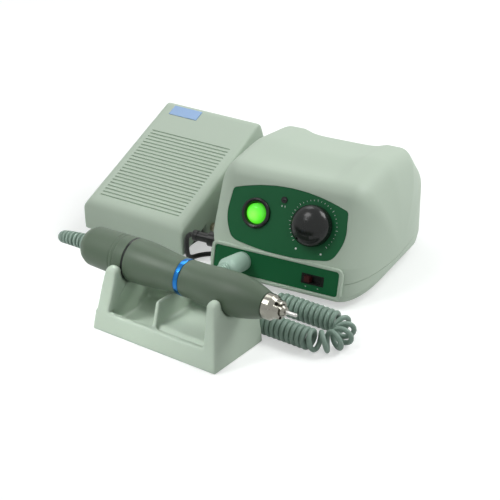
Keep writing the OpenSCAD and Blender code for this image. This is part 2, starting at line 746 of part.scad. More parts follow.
module pedal_pin() {
    color(brass_colour) at_pedal() translate([0, pivot_y, pivot_z]) difference() {
        union() {
            turned_bar(-ear_half - run_gap, ear_half + run_gap, pivot_dia / 2);
            for (s = [-1, 1]) translate([s * (ear_half + run_gap + 0.8), 0, 0]) turned_bar(-0.8, 0.8, pivot_dia / 2 + 1);
        }
        for (s = [-1, 1]) translate([s * (ear_half + run_gap + 1.6), 0, 0]) cube([1.4, 8, 0.8], center = true);
    }
}
spring_place = 70;
spring_wire = 1.4;
spring_low = base_floor + spring_wire / 2 + 0.1;
spring_high = tread_at(spring_place - spring_dia / 2) - pedal_wall / cos(tread_angle) - spring_wire / 2 - run_gap;
spring_points = [for (i = [0:8 * spring_turns])
    let (a = 360 * i / 8, t = i / (8 * spring_turns))
    [spring_dia / 2 * cos(a), spring_place + spring_dia / 2 * sin(a), spring_low + (spring_high - spring_low) * t]];
module pedal_spring() {
    color(steel_colour) at_pedal() tube(spring_points, spring_wire / 2, 6, [1, 0, 0]);
}
sensor_h = 14;
module pedal_sensor() {
    color([0.12, 0.25, 0.16]) at_pedal() translate([-9, magnet_y - 7, base_floor]) cube([18, 14, sensor_h]);
}
magnet_t = 3;
magnet_z = base_floor + sensor_h + magnet_gap + magnet_t;
module sensor_magnet() {
    color(steel_colour) at_pedal() translate([0, magnet_y, magnet_z - magnet_t]) cylinder(h = magnet_t, r = 4);
}
module pedal_feet() {
    color(rubber_colour) at_pedal()
        for (x = [-base_half + 8, base_half - 8], y = [base_near + 9, base_far - 9])
            translate([x, y, 0]) cylinder(h = foot_low, r = 5);
}
module pedal_plate() {
    color([0.25, 0.42, 0.85]) at_pedal() on_tread(0) translate([plate_x0, plate_s0, -0.4])
        cube([plate_x1 - plate_x0, plate_s1 - plate_s0, 0.7]);
}
gland_x = 20;
gland_z = 8.5;
gland_r = 3;
gland_end = base_far + 10;
module pedal_gland() {
    color(black_colour) at_pedal() translate([gland_x, base_far, gland_z]) rotate([0, 0, 90])
        turned([[-base_wall - 1, 0], [-base_wall - 1, gland_r], [0, gland_r], [0, 4.2], [1.6, 4.2],
            [1.6, 3], [gland_end - base_far, cable_dia / 2 + 0.5], [gland_end - base_far, 0]]);
}

// Cradle

divider_x = 44.2;
divider_w = 2.8;
divider_h = 29.5;
module cradle() {
    color(casing_colour) at_cradle() difference() {
        union() {
            cradle_end([[0, 0, 0], [10.5, 0, 0], [12.4, 14, 0], [16.3, 34, 0], [17.6, horn_h, 3], [9.8, horn_h, 4], [7, 34, 0]],
                ring_r + run_gap);
            cradle_end([[cradle_l - 11, 0, 0], [cradle_l, 0, 0], [cradle_l - 2.4, 34, 0], [cradle_l - 3, horn_h, 2.6],
                [cradle_l - 9, horn_h, 2.6], [cradle_l - 9.4, 30, 0]], sleeve_r + run_gap);
            cradle_tray();
        }
        translate([6, 6, -past]) cube([cradle_l - 12, cradle_d - 12, past + 1.2]);
    }
}
// Base between the ends: a deep trough on the left and a sloping tray on the right of a divider
module cradle_tray() {
    inner = cradle_d - 6.5;
    difference() {
        union() {
            hull() {
                cube([cradle_l, cradle_d, 0.1]);
                translate([2, 1.5, 0]) cube([cradle_l - 3.5, cradle_d - 3, rim_h]);
            }
            across(10, cradle_l - 8) polygon([[cradle_d, 0], [cradle_d - 2.7, back_h], [inner, back_h], [inner, 0]]);
        }
        across(11, divider_x) polygon([[5, 50], [5.8, 4.5], [30, 4], [inner - 2.5, 9], [inner, back_h + past], [inner, 50]]);
        across(divider_x + divider_w, cradle_l - 10.3)
            polygon([[5, 50], [5.6, 11], [7, 10.5], [16, 23], [inner - 6, 25], [inner, back_h + past], [inner, 50]]);
    }
    across(divider_x, divider_x + divider_w)
        polygon([[4, 2], [4, rim_h], [5.5, rim_h], [9.5, divider_h], [inner + 2, divider_h], [inner + 2, 2]]);
}
// One end wall of the cradle: its front view's corners, and the saddle's radius
module cradle_end(corners, r) {
    mid = cradle_d / 2;
    difference() {
        intersection() {
            translate([0, cradle_d, 0]) rotate([90, 0, 0]) linear_extrude(cradle_d) polygon(rounded(corners));
            across(0, cradle_l) polygon(rounded([[0, 0, 0], [cradle_d, 0, 0], [cradle_d - 4.5, horn_h, 2.6],
                [mid + r + 1, horn_h, 1.5], [mid + r, axis_z, 0], [mid - r, axis_z, 0], [mid - r - 1, horn_h, 1.5], [4.5, horn_h, 2.6]]));
        }
        translate([-past, mid, axis_z]) turned_bar(0, cradle_l + 2 * past, r);
    }
}
module cradle_feet() {
    color(rubber_colour) at_cradle()
        for (x = [12, cradle_l - 12], y = [12, cradle_d - 12]) translate([x, y, 0]) cylinder(h = 1.2, r = 4);
}

// Handpiece: x from the cradle's left end, all round about the X axis

motor_r = 10.4;
housing_r = 6.9;
spindle_r = 3;
bearing_r = 4.9;
ring_w = 1.6;
accent_w = 3.3;
motor_x0 = -9;
motor_x1 = 30;
rear_bearing_x = -15;
bearing_w = 5;
boot_r = 5.5;
groove_x = ring_x - 11;
module tail_cap() {
    color(grip_colour) at_handpiece() difference() {
        turned(rounded([[tail_x, 0, 0], [ring_x, 0, 0], [ring_x, ring_r - 0.1, 0], [groove_x + 4.6, ring_r - 0.35, 0],
            [groove_x + 4.2, ring_r - 0.8, 0], [groove_x + 3.4, ring_r - 0.8, 0], [groove_x + 3, ring_r - 0.5, 0],
            [groove_x + 1.6, ring_r - 0.55, 0], [groove_x + 1.2, ring_r - 1, 0], [groove_x + 0.4, ring_r - 1, 0],
            [groove_x, ring_r - 0.7, 0], [tail_x + 5, ring_r - 1.2, 8], [tail_x, ring_r - 4, 3]], 5));
        turned_bar(motor_x0 - 2, ring_x + past, motor_r);
        turned_bar(rear_bearing_x, motor_x0, bearing_r + 1.6);
        turned_bar(rear_bearing_x - 3, motor_x0, spindle_r + 0.5);
    }
}
module tail_ring() { color(black_colour) at_handpiece() turned_bar(ring_x, ring_x + ring_w, ring_r, motor_r); }
grip_x = ring_x + ring_w;
module grip_sleeve() {
    color(grip_colour) at_handpiece() difference() {
        turned([[grip_x, 0], [grip_x, ring_r], [grip_x + 8, ring_r - 0.1], [grip_x + 18, ring_r - 0.9],
            [grip_x + 27, waist_r + 0.45], [accent_x, waist_r], [accent_x, 0]]);
        turned_bar(grip_x - past, motor_x1 + 6, motor_r);
        turned_bar(motor_x1, accent_x + past, housing_r);
    }
}
module accent_ring() {
    color([0.12, 0.45, 0.80]) at_handpiece() turned_bar(accent_x, accent_x + accent_w, waist_r + 0.1, housing_r);
}
front_bearing_x = [46, 103];
module front_housing() {
    color(steel_colour) at_handpiece() difference() {
        turned_bar(motor_x1 + 6, sleeve_x + 2, housing_r);
        turned_bar(motor_x1 + 5, sleeve_x + 2 + past, spindle_r + 0.6);
        for (x = front_bearing_x) turned_bar(x == front_bearing_x[0] ? motor_x1 : x, x == front_bearing_x[0] ? x + bearing_w : sleeve_x + 3, bearing_r);
    }
}
chuck_x = accent_x + accent_w + run_gap;
module chuck_sleeve() {
    swell = (sleeve_x - chuck_x) / 6;
    color(grip_colour) at_handpiece() difference() {
        turned([[chuck_x, 0], [chuck_x, waist_r], [chuck_x + swell, waist_r + 0.2], [chuck_x + 2 * swell, sleeve_r - 0.6],
            [chuck_x + 3 * swell, sleeve_r - 0.1], [chuck_x + 3.6 * swell, sleeve_r], [chuck_x + 4.2 * swell, sleeve_r - 0.4],
            [chuck_x + 4.8 * swell, sleeve_r - 1.5], [chuck_x + 5.4 * swell, sleeve_r - 3], [sleeve_x, 8.3], [sleeve_x, 0]]);
        turned_bar(chuck_x - past, sleeve_x + past, housing_r + shaft_gap);
    }
}
nose_r = 8.1;
tip_r = 5.7;
collet_r = 3.7;
module nose_cone() {
    x0 = sleeve_x + run_gap;
    color(chrome_colour) at_handpiece() difference() {
        turned([[x0, 0], [x0, nose_r], [x0 + 5, nose_r - 0.3], [nose_x - 4, tip_r + 0.6], [nose_x, tip_r], [nose_x, 0]]);
        turned_bar(x0 - past, sleeve_x + 2, housing_r);
        turned_bar(sleeve_x + 1, nose_x + past, collet_r + 0.4);
        for (a = [0, 120, 240]) rotate([a + 30, 0, 0]) translate([nose_x - 3.4, -1.3, 0]) cube([4.4, 2.6, 12]);
    }
}
module collet() {
    color(chrome_colour) at_handpiece() difference() {
        turned([[sleeve_x - 2, 0], [sleeve_x - 2, spindle_r], [sleeve_x + 4, collet_r], [nose_x + 1, collet_r], [nose_x + 2.5, collet_r - 1], [nose_x + 2.5, 0]]);
        turned_bar(sleeve_x - 3, nose_x + 4, mandrel_dia / 2 + 0.02);
        for (a = [0, 120, 240]) rotate([a, 0, 0]) translate([nose_x - 9, -0.25, 0]) cube([14, 0.5, 6]);
    }
}
module mandrel() {
    r = mandrel_dia / 2;
    color(steel_colour) at_handpiece() turned([[sleeve_x - 2, 0], [sleeve_x - 2, r], [mandrel_x - 0.6, r], [mandrel_x, r - 0.5], [mandrel_x, 0]]);
}
module spindle() {
    color(steel_colour) at_handpiece() turned_bar(rear_bearing_x - 1, sleeve_x - 2, spindle_r);
}
rotor_r = 8.2;
commutator_x = motor_x0 - 1;
module motor_rotor() {
    color(copper_colour) at_handpiece() {
        turned_bar(motor_x0 + 6, motor_x1 - 2, rotor_r, spindle_r);
        turned_bar(commutator_x, motor_x0 + 6, 5, spindle_r);
    }
}
module motor_magnet() {
    color([0.22, 0.22, 0.23]) at_handpiece() turned_bar(motor_x0 + 6, motor_x1 - 2, motor_r, rotor_r + 0.5);
}
module rear_bearing() {
    color(steel_colour) at_handpiece() turned_bar(rear_bearing_x, rear_bearing_x + bearing_w, bearing_r + 1.6, spindle_r + shaft_gap);
}
module front_bearings() {
    color(steel_colour) at_handpiece()
        for (x = front_bearing_x) turned_bar(x, x + bearing_w, bearing_r, spindle_r + shaft_gap);
}
module motor_brushes() {
    color([0.13, 0.13, 0.13]) at_handpiece() for (s = [0, 180]) rotate([s, 0, 0])
        translate([motor_x0, -1.8, 5 + 0.1]) cube([4, 3.6, motor_r - 5.3]);
}

// Ribbed boot at the handpiece's tail, drooping and bending back

boot_ribs = 10;
boot_route = [[-41.6, 0, 0], [-48, 0, 0], [-55.4, 0, -0.5], [-62.5, 0.9, -1.7], [-67.4, 3.8, -4.2], [-69.6, 8.8, -7.6]];
boot_place = [0, cradle_y + cradle_d / 2, axis_z];
boot_points = [for (q = smooth(boot_route, 4)) boot_place + q];
module tail_boot() {
    last = len(boot_points) - 1;
    radii = [for (i = [0:last]) boot_r + (3.5 - boot_r) * i / last - (i % 2 == 1 ? 0.7 : 0)];
    color(cord_colour) tube(boot_points, radii, 12);
}

// Cords and cables: routes in the set's own frame, chosen by hand

plug_l = 22;
plug_boot = 12;
plug_r = 6.5;
module cord_plug() {
    ribs = [for (i = [0:4]) each [[plug_l + 1 + 2.2 * i, 4.6 - 0.35 * i], [plug_l + 2.2 + 2.2 * i, 4.6 - 0.35 * i],
        [plug_l + 2.2 + 2.2 * i, 3.6 - 0.3 * i], [plug_l + 3.2 + 2.2 * i, 3.6 - 0.3 * i]]];
    face = panel_face + 1.4;
    color(cord_colour) at_box() on_lower(jack_u, jack_v) rotate([0, -90, 0])
        turned(concat([[-8, 0], [-8, plug_bore - 0.1], [face, plug_bore - 0.1], [face, plug_r - 0.4], [face + 1, plug_r],
            [plug_l - 1, plug_r], [plug_l, plug_r - 0.6]], ribs, [[plug_l + plug_boot, 2.4], [plug_l + plug_boot, 0]]));
}
boot_lead_route = [[-69.72, -83.93, 35.22], [-70.1, -82.1, 33.9], [-68.9, -79.2, 31.4], [-66.2, -77, 29.4],
    [-62.5, -74.4, 26], [-56.5, -72.4, 21.6], [-48.5, -70.6, 16.2], [-39.5, -69.2, 10.8], [-30.5, -67.7, 6.2], [-20.5, -66, 2.9],
    [-9.5, -65, 1.75], [2.5, -64.5, 1.75], [14.5, -64, 1.75], [26.5, -63, 2.1], [36.5, -61.5, 4], [44.5, -60.3, 6.2], [49.5, -60, 7.4], [53.1, -60, 7.4]];
module boot_lead() {
    color(cord_colour) tube(smooth(boot_lead_route, 2), cord_dia / 2, 8);
}
plug_lead_route = [[28.3, -52.5, 26.8], [28.9, -56, 27.6], [30.3, -60.2, 27.2], [33.3, -63.6, 24.2], [36.9, -64.6, 19.4],
    [40.7, -62, 14.6], [44.3, -56.6, 11],
    [46.7, -50, 9], [48.1, -42.8, 7.9], [50.3, -35.8, 7.4], [53.5, -33.3, 7.4], [56.8, -33, 7.4]];
module plug_lead() {
    color(cord_colour) tube(smooth(plug_lead_route, 3), cord_dia / 2, 8);
}
// Curly stretch: a front run, a half turn and a back run
curl_front = [56.5, -60];
curl_z = curl_dia / 2 + 0.1;
curl_gap = 27;
curl_r = (curl_dia - cord_dia) / 2;
front_l = curls_front * curl_pitch;
turn_l = PI * curl_gap / 2;
curls = curls_front + curls_turn + curls_back;
// Distance along the middle of the curls after a number of curls
function curl_s(t) =
    t < curls_front ? t * curl_pitch
    : t < curls_front + curls_turn ? front_l + (t - curls_front) * turn_l / curls_turn
    : front_l + turn_l + (t - curls_front - curls_turn) * curl_pitch;
// Place and heading of the middle of the curls
function curl_heading(s) = 180 * min(1, max(0, (s - front_l) / turn_l));
function curl_middle(s) =
    let (a = curl_heading(s), turn = [curl_front.x + front_l, curl_front.y + curl_gap / 2, curl_z])
    s < front_l ? [curl_front.x + s, curl_front.y, curl_z]
    : s > front_l + turn_l ? turn + [front_l + turn_l - s, curl_gap / 2, 0]
    : turn + curl_gap / 2 * [sin(a), -cos(a), 0];
curl_points = [for (k = [-2:8 * curls + 2])
    let (t = min(curls, max(0, k / 8)), s = curl_s(t) + (k / 8 - t) * 8 * cord_dia / 2)
    let (a = curl_heading(s), r = curl_r * ease(t / 1.2) * ease((curls - t) / 1.2), w = 360 * t)
    curl_middle(s) + r * (cos(w) * [0, 0, 1] + sin(w) * [sin(a), -cos(a), 0])];
module curly_cord() {
    color(cord_colour) tube(curl_points, cord_dia / 2, 6);
}
// Pedal plug, its cable, the tied coil of spare length, and the end that enters the pedal
pedal_plug_end = 67;
module pedal_plug() {
    face = -pedal_jack_face;
    color(black_colour) at_box() translate([0, pedal_jack_y, pedal_jack_z])
        turned([[-pedal_plug_end, 0], [-pedal_plug_end, 3], [-pedal_plug_end + 1, 3.7], [-pedal_plug_end + 3.6, 3.7],
            [-pedal_plug_end + 4.2, 3.2], [face - 1, 3.3], [face, 3.3], [face, pin_bore - 0.1], [face + 12, pin_bore - 0.1], [face + 13, 0]]);
}
cable_route = [[-20.5, -14, 23.5], [-23, -14.4, 23.1], [-24.9, -14.7, 21], [-25.6, -14.8, 17.8], [-25.9, -14.6, 13.2],
    [-26.2, -13.6, 8.4], [-26.7, -11.4, 4.4], [-26.6, -7.6, 2.2], [-25.2, -2.6, 1.75], [-22.6, 1.4, 1.75], [-19.6, 4.6, 1.75],
    [-17, 9, 1.75], [-15.6, 15, 1.75], [-15.8, 24, 1.75], [-17, 35, 1.75], [-19, 49, 1.75], [-21, 63, 1.75], [-23.2, 78, 1.75],
    [-25.2, 93, 1.75], [-26.6, 108, 1.9], [-27.4, 124, 2.3], [-27.5, 137, 2.6], [-27.5, 142, 2.6]];
module pedal_cable() {
    color(black_colour) tube(smooth(cable_route, 2), cable_dia / 2, 8);
}
// Coil of two layers: it spirals in on the floor, climbs where it reverses and spirals out again
coil_middle = [2.5, 145.4];
coil_turns = 8.75;
coil_out = 30;
coil_in = 12.5;
coil_low = 2.6;
coil_step = cable_dia + 0.5;
coil_steps = 24 * coil_turns;
coil_points = [for (k = [-2:coil_steps + 2])
    let (t = min(1, max(0, k / coil_steps)), a = 180 - 360 * coil_turns * t, over = (k / coil_steps - t) * coil_steps)
    let (r = coil_in + (coil_out - coil_in) * abs(1 - 2 * t), up = ease((t - 0.5) * coil_turns + 0.5))
    [coil_middle.x + r * cos(a), coil_middle.y + r * sin(a), coil_low + coil_step * up]
        + over * cable_dia / 2 * [sin(a), -cos(a), 0]];
module cable_coil() {
    color(black_colour) tube(coil_points, cable_dia / 2, 6);
}
gland_route = [[-56.8, 91.9, 8.5], [-57, 95.6, 8.5], [-57.2, 100, 8], [-56.9, 106, 6], [-54.6, 112, 3.6], [-50, 116.4, 2.3],
    [-43.5, 118, 2.8], [-37.1, 117, 5], [-30.5, 116, 6.5], [-23.5, 115.5, 6.5], [-13.5, 115.4, 6.5], [-4.5, 115.4, 6.5], [-0.9, 115.4, 6.5]];
module gland_cable() {
    color(black_colour) tube(smooth(gland_route, 2), cable_dia / 2, 8);
}
module cable_tie() {
    t = 0.8;
    in_x = coil_in - 3.2;
    out_x = coil_out + 2.4;
    high = coil_low + coil_step + cable_dia / 2 + 0.4;
    color(rubber_colour) translate([coil_middle.x, coil_middle.y, 0]) rotate([0, 0, 40]) difference() {
        translate([in_x - t, -4, 0]) cube([out_x - in_x + 2 * t, 8, high + t]);
        translate([in_x, -4 - past, t]) cube([out_x - in_x, 8 + 2 * past, high - t]);
    }
}
echo(curl_gap_least = least_gap(curl_points, cord_dia, 5));
echo(coil_gap_least = least_gap(coil_points, cable_dia, 13));
echo(spring_gap_least = least_gap(spring_points, spring_wire, 5));

case_cover();
case_base();
case_feet();
case_screws();
front_bezel();
control_panel();
jack_panel();
power_switch();
power_rocker();
pilot_lamp();
potentiometer();
knob_shaft();
speed_knob();
selector_switch();
selector_slider();
handpiece_jack();
pedal_jack();
mains_inlet();
transformer_core();
transformer_coil();
circuit_board();
pedal_cover();
pedal_base();
pedal_pin();
pedal_spring();
pedal_sensor();
sensor_magnet();
pedal_feet();
pedal_plate();
pedal_gland();
cradle();
cradle_feet();
tail_cap();
tail_ring();
grip_sleeve();
accent_ring();
front_housing();
chuck_sleeve();
nose_cone();
collet();
mandrel();
spindle();
motor_rotor();
motor_magnet();
rear_bearing();
front_bearings();
motor_brushes();
tail_boot();
cord_plug();
boot_lead();
curly_cord();
plug_lead();
pedal_plug();
pedal_cable();
cable_coil();
gland_cable();
cable_tie();
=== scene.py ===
"""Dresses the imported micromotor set: smooth casings, a turned handpiece, its cords and their finishes."""
import logging
import math
from dataclasses import dataclass, field, replace
from enum import Enum
from typing import Callable, Iterable, Sequence

import bpy
from mathutils import Matrix, Vector


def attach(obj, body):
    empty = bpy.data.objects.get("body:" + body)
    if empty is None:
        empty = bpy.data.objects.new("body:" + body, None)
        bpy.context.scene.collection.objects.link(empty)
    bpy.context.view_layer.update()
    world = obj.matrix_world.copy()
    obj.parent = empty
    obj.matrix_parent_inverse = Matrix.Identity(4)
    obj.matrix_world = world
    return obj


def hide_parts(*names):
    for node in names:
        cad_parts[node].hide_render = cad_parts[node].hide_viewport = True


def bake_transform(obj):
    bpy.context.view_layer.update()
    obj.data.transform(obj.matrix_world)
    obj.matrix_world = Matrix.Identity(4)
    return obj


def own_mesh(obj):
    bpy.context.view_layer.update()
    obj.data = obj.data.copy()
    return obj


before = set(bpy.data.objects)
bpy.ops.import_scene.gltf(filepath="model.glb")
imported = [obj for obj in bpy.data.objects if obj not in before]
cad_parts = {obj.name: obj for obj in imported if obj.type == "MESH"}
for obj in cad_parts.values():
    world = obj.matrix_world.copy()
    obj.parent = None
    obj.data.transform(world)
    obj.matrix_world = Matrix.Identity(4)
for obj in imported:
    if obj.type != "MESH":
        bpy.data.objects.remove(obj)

LOG = logging.getLogger("micromotor_set")
MM = 0.001
Point2 = tuple[float, float]
Point3 = tuple[float, float, float]
Corner = tuple[float, float, float]
Tree = bpy.types.NodeTree
Node = bpy.types.Node
Socket = bpy.types.NodeSocket
Object = bpy.types.Object


class Body(Enum):
    """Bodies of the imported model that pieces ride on."""

    SET = "set"
    ROCKER = "rocker"
    KNOB = "knob"
    TREADLE = "treadle"
    HANDPIECE = "handpiece"
    CHUCK = "chuck"
    ROTOR = "rotor"


class Slot(Enum):
    """Material slots of the record."""

    CASING = "casing"
    PEDAL_TRAY = "pedal_tray"
    PANEL = "panel"
    BLACK_GLOSS = "black_gloss"
    BLACK_PLASTIC = "black_plastic"
    LENS = "lens"
    SLIDER = "slider"
    RUBBER = "rubber"
    CABLE = "cable"
    CORD = "cord"
    GRIP = "grip"
    ACCENT = "accent"
    CHROME = "chrome"
    STEEL = "steel"
    BRASS = "brass"
    COPPER = "copper"
    IRON = "iron"
    CARBON = "carbon"
    BOARD = "board"
    PLATE = "plate"


# Plane curves and routes


def filleted(corners: Sequence[Corner], steps: int, closed: bool = True) -> list[Point2]:
    """Rounds the corners of an outline or of an open profile.

    Args:
        corners: Corner points with the radius of each.
        steps: Number of steps in each rounded corner.
        closed: Whether the last corner joins the first.

    Returns:
        The points of the rounded line.
    """
    count = len(corners)
    line: list[Point2] = []
    for i, (x, y, radius) in enumerate(corners):
        if radius == 0 or (not closed and i in (0, count - 1)):
            line.append((x, y))
            continue
        corner = Vector((x, y))
        before = (Vector(corners[i - 1][:2]) - corner).normalized()
        after = (Vector(corners[(i + 1) % count][:2]) - corner).normalized()
        half = before.angle(after) / 2
        middle = corner + (before + after).normalized() * radius / math.sin(half)
        arm = corner + before * radius / math.tan(half) - middle
        turn = math.copysign(math.pi - 2 * half, before.y * after.x - before.x * after.y)
        for k in range(steps + 1):
            c, s = math.cos(turn * k / steps), math.sin(turn * k / steps)
            line.append((middle.x + arm.x * c - arm.y * s, middle.y + arm.x * s + arm.y * c))
    return line


def routed(points: Sequence[Sequence[float]], steps: int) -> list[Vector]:
    """Lays a smooth curve through given points.

    Args:
        points: The points, of two or three coordinates.
        steps: Number of steps between each pair.

    Returns:
        The points of the curve, from the first to the last.
    """
    p = [Vector(q) for q in points]
    last = len(p) - 1
    curve: list[Vector] = []
    for i in range(last):
        a, b, c, d = p[max(i - 1, 0)], p[i], p[i + 1], p[min(i + 2, last)]
        for k in range(steps):
            t = k / steps
            curve.append(
                0.5 * (2 * b + (c - a) * t + (2 * a - 5 * b + 4 * c - d) * t * t
                       + (3 * b - a - 3 * c + d) * t * t * t)
            )
    curve.append(p[last])
    return curve


def eased(t: float) -> float:
    """Gives a soft step from 0 to 1 for t from 0 to 1."""
    c = min(1.0, max(0.0, t))
    return c * c * (3 - 2 * c)


# Places of the sub-assemblies, in millimetres


def turned_to(angle: float, axis: str) -> Matrix:
    """Gives a rotation by an angle in degrees about a named axis."""
    return Matrix.Rotation(math.radians(angle), 4, axis)


BOX = Matrix.Translation((48, -18.5, 0)) @ turned_to(8, "Z")
PEDAL = Matrix.Translation((-71.5, -9, 0)) @ turned_to(3, "Z")
CRADLE = Matrix.Translation((-20.5, -118, 0))
HANDPIECE = Matrix.Translation((-20.5, -93, 43))
BOOT = Matrix.Translation((0, -93, 43))
UPPER = BOX @ Matrix.Translation((0, 6, 26.9)) @ turned_to(90 - 24, "X")
LOWER = BOX @ Matrix.Translation((0, 0, 8.8)) @ turned_to(90 - 13, "X")
UPRIGHT = turned_to(-90, "Y")
SWITCH_AT = (-20.5, 24.5)
KNOB_AT = (20.5, 24.5)
LAMP_AT = (-2.5, 36.8)
PLUG_AT = (-24.2, 10.6)
PEDAL_PLUG_AT = (14, 23.5)


# Finishes


class Effects:
    """Shader node groups that several finishes share, each built once."""

    CLOUD_SCALE = 18
    GRAIN_SCALE = 1500
    STREAK_SCALE = (260, 900, 140)
    STREAK_FROM = 0.62
    STREAK_TO = 0.80
    SPECK = 0.05
    RIPPLE = 0.08
    RING_SCALE = (5200, 40, 40)
    TARNISH_SCALE = 240
    RING_GLOSS = 0.12
    NUMBER = "NodeSocketFloat"
    COLOUR = "NodeSocketColor"

    made: dict[str, Tree] = {}

    @classmethod
    def start(cls, name: str, numbers: Iterable[tuple[str, float]]) -> Tree:
        """Opens a new group with its sockets.

        Args:
            name: Name of the group.
            numbers: Name and default of each number that it takes.

        Returns:
            The new group, which takes a place and a colour too.
        """
        tree = bpy.data.node_groups.new(name, "ShaderNodeTree")
        tree.interface.new_socket(name="Place", in_out="INPUT", socket_type="NodeSocketVector")
        tree.interface.new_socket(name="Colour", in_out="INPUT", socket_type=cls.COLOUR)
        for label, default in numbers:
            socket = tree.interface.new_socket(name=label, in_out="INPUT", socket_type=cls.NUMBER)
            socket.default_value = default
        for label, kind in (("Colour", cls.COLOUR), ("Roughness", cls.NUMBER), ("Height", cls.NUMBER)):
            tree.interface.new_socket(name=label, in_out="OUTPUT", socket_type=kind)
        cls.made[name] = tree
        return tree

    @classmethod
    def skin(cls) -> Tree:
        """Gives the drift of tone, the fine grain and the handling marks of a moulded or coated skin.

        Returns:
            The group, with a colour, a roughness and a height that vary over the surface.
        """
        if "moulded_skin" in cls.made:
            return cls.made["moulded_skin"]
        tree = cls.start("moulded_skin", [("Drift", 0.04), ("Gloss", 0.4), ("Grain", 1500), ("Marks", 0.1)])
        given, out = tree.nodes.new("NodeGroupInput").outputs, tree.nodes.new("NodeGroupOutput").inputs
        cloud = Nodes.noise(tree, given["Place"], cls.CLOUD_SCALE, 2).outputs["Fac"]
        grain = Nodes.noise(tree, given["Place"], cls.GRAIN_SCALE, 2)
        tree.links.new(given["Grain"], grain.inputs["Scale"])
        fine = grain.outputs["Fac"]
        streak = Nodes.noise(tree, Nodes.stretch(tree, given["Place"], cls.STREAK_SCALE), 1, 4)
        marks = Nodes.ramp(tree, streak.outputs["Fac"], cls.STREAK_FROM, cls.STREAK_TO)
        tone = Nodes.maths(tree, "MULTIPLY_ADD", cloud, 2, -1)
        drift = Nodes.maths(tree, "MULTIPLY", tone, given["Drift"])
        speck = Nodes.maths(tree, "MULTIPLY_ADD", fine, cls.SPECK, -cls.SPECK / 2)
        level = Nodes.maths(tree, "ADD", Nodes.maths(tree, "ADD", drift, speck), 1)
        tree.links.new(Nodes.shaded(tree, given["Colour"], level), out["Colour"])
        worn = Nodes.maths(tree, "MULTIPLY", marks, given["Marks"])
        rough = Nodes.maths(tree, "ADD", given["Gloss"], worn)
        ripple = Nodes.maths(tree, "MULTIPLY_ADD", cloud, cls.RIPPLE, -cls.RIPPLE / 2)
        tree.links.new(Nodes.maths(tree, "ADD", rough, ripple), out["Roughness"])
        tree.links.new(fine, out["Height"])
        return tree

    @classmethod
    def lathe(cls) -> Tree:
        """Gives the fine rings that a cutting tool leaves round a turned metal piece.

        Returns:
            The group, with a colour, a roughness and a height that vary over the surface.
        """
        if "lathe_rings" in cls.made:
            return cls.made["lathe_rings"]
        tree = cls.start("lathe_rings", [("Gloss", 0.2), ("Tarnish", 0.08)])
        given, out = tree.nodes.new("NodeGroupInput").outputs, tree.nodes.new("NodeGroupOutput").inputs
        rings = Nodes.noise(tree, Nodes.stretch(tree, given["Place"], cls.RING_SCALE), 1, 3).outputs["Fac"]
        cloud = Nodes.noise(tree, given["Place"], cls.TARNISH_SCALE, 3).outputs["Fac"]
        dull = Nodes.maths(tree, "MULTIPLY", cloud, given["Tarnish"])
        level = Nodes.maths(tree, "SUBTRACT", 1, dull)
        tree.links.new(Nodes.shaded(tree, given["Colour"], level), out["Colour"])
        swing = Nodes.maths(tree, "MULTIPLY_ADD", rings, cls.RING_GLOSS, -cls.RING_GLOSS / 2)
        rough = Nodes.maths(tree, "ADD", given["Gloss"], swing)
        tree.links.new(Nodes.maths(tree, "ADD", rough, dull), out["Roughness"])
        tree.links.new(rings, out["Height"])
        return tree


class Nodes:
    """Small shader nodes, placed and linked in one call each."""

    @staticmethod
    def put(tree: Tree, value: float | Socket, socket: Socket) -> None:
        """Links a socket to another or sets it to a number."""
        if isinstance(value, Socket):
            tree.links.new(value, socket)
        else:
            socket.default_value = value

    @classmethod
    def maths(cls, tree: Tree, operation: str, *values: float | Socket) -> Socket:
        """Adds a sum or product.

        Args:
            tree: The tree to add to.
            operation: Name of the operation.
            values: Numbers or sockets that it works on.

        Returns:
            The socket with the result.
        """
        node = tree.nodes.new("ShaderNodeMath")
        node.operation = operation
        for socket, value in zip(node.inputs, values):
            cls.put(tree, value, socket)
        return node.outputs[0]

    @staticmethod
    def shaded(tree: Tree, colour: Socket, level: Socket) -> Socket:
        """Scales a colour by a level.

        Args:
            tree: The tree to add to.
            colour: Socket with the colour.
            level: Socket with the level.

        Returns:
            The socket with the scaled colour.
        """
        node = tree.nodes.new("ShaderNodeVectorMath")
        node.operation = "SCALE"
        tree.links.new(colour, node.inputs[0])
        tree.links.new(level, node.inputs["Scale"])
        return node.outputs[0]

    @staticmethod
    def noise(tree: Tree, place: Socket, scale: float, detail: float) -> Node:
        """Adds a noise texture.

        Args:
            tree: The tree to add to.
            place: Socket with the coordinates.
            scale: Number of cells in a metre.
            detail: Number of finer layers.

        Returns:
            The texture node.
        """
        node = tree.nodes.new("ShaderNodeTexNoise")
        node.inputs["Scale"].default_value = scale
        node.inputs["Detail"].default_value = detail
        tree.links.new(place, node.inputs["Vector"])
        return node

    @staticmethod
    def stretch(tree: Tree, place: Socket, scale: Point3) -> Socket:
        """Adds a mapping that scales coordinates by axis.

        Args:
            tree: The tree to add to.
            place: Socket with the coordinates.
            scale: Factor for each axis.

        Returns:
            The socket with the scaled coordinates.
        """
        node = tree.nodes.new("ShaderNodeMapping")
        node.inputs["Scale"].default_value = scale
        tree.links.new(place, node.inputs["Vector"])
        return node.outputs[0]

    @staticmethod
    def ramp(tree: Tree, value: Socket, low: float, high: float) -> Socket:
        """Adds a soft step from 0 at low to 1 at high.

        Args:
            tree: The tree to add to.
            value: Socket with the value.
            low: Value at which the step starts.
            high: Value at which it ends.

        Returns:
            The socket with the step.
        """
        node = tree.nodes.new("ShaderNodeMapRange")
        node.interpolation_type = "SMOOTHSTEP"
        node.inputs["From Min"].default_value = low
        node.inputs["From Max"].default_value = high
        tree.links.new(value, node.inputs["Value"])
        return node.outputs[0]


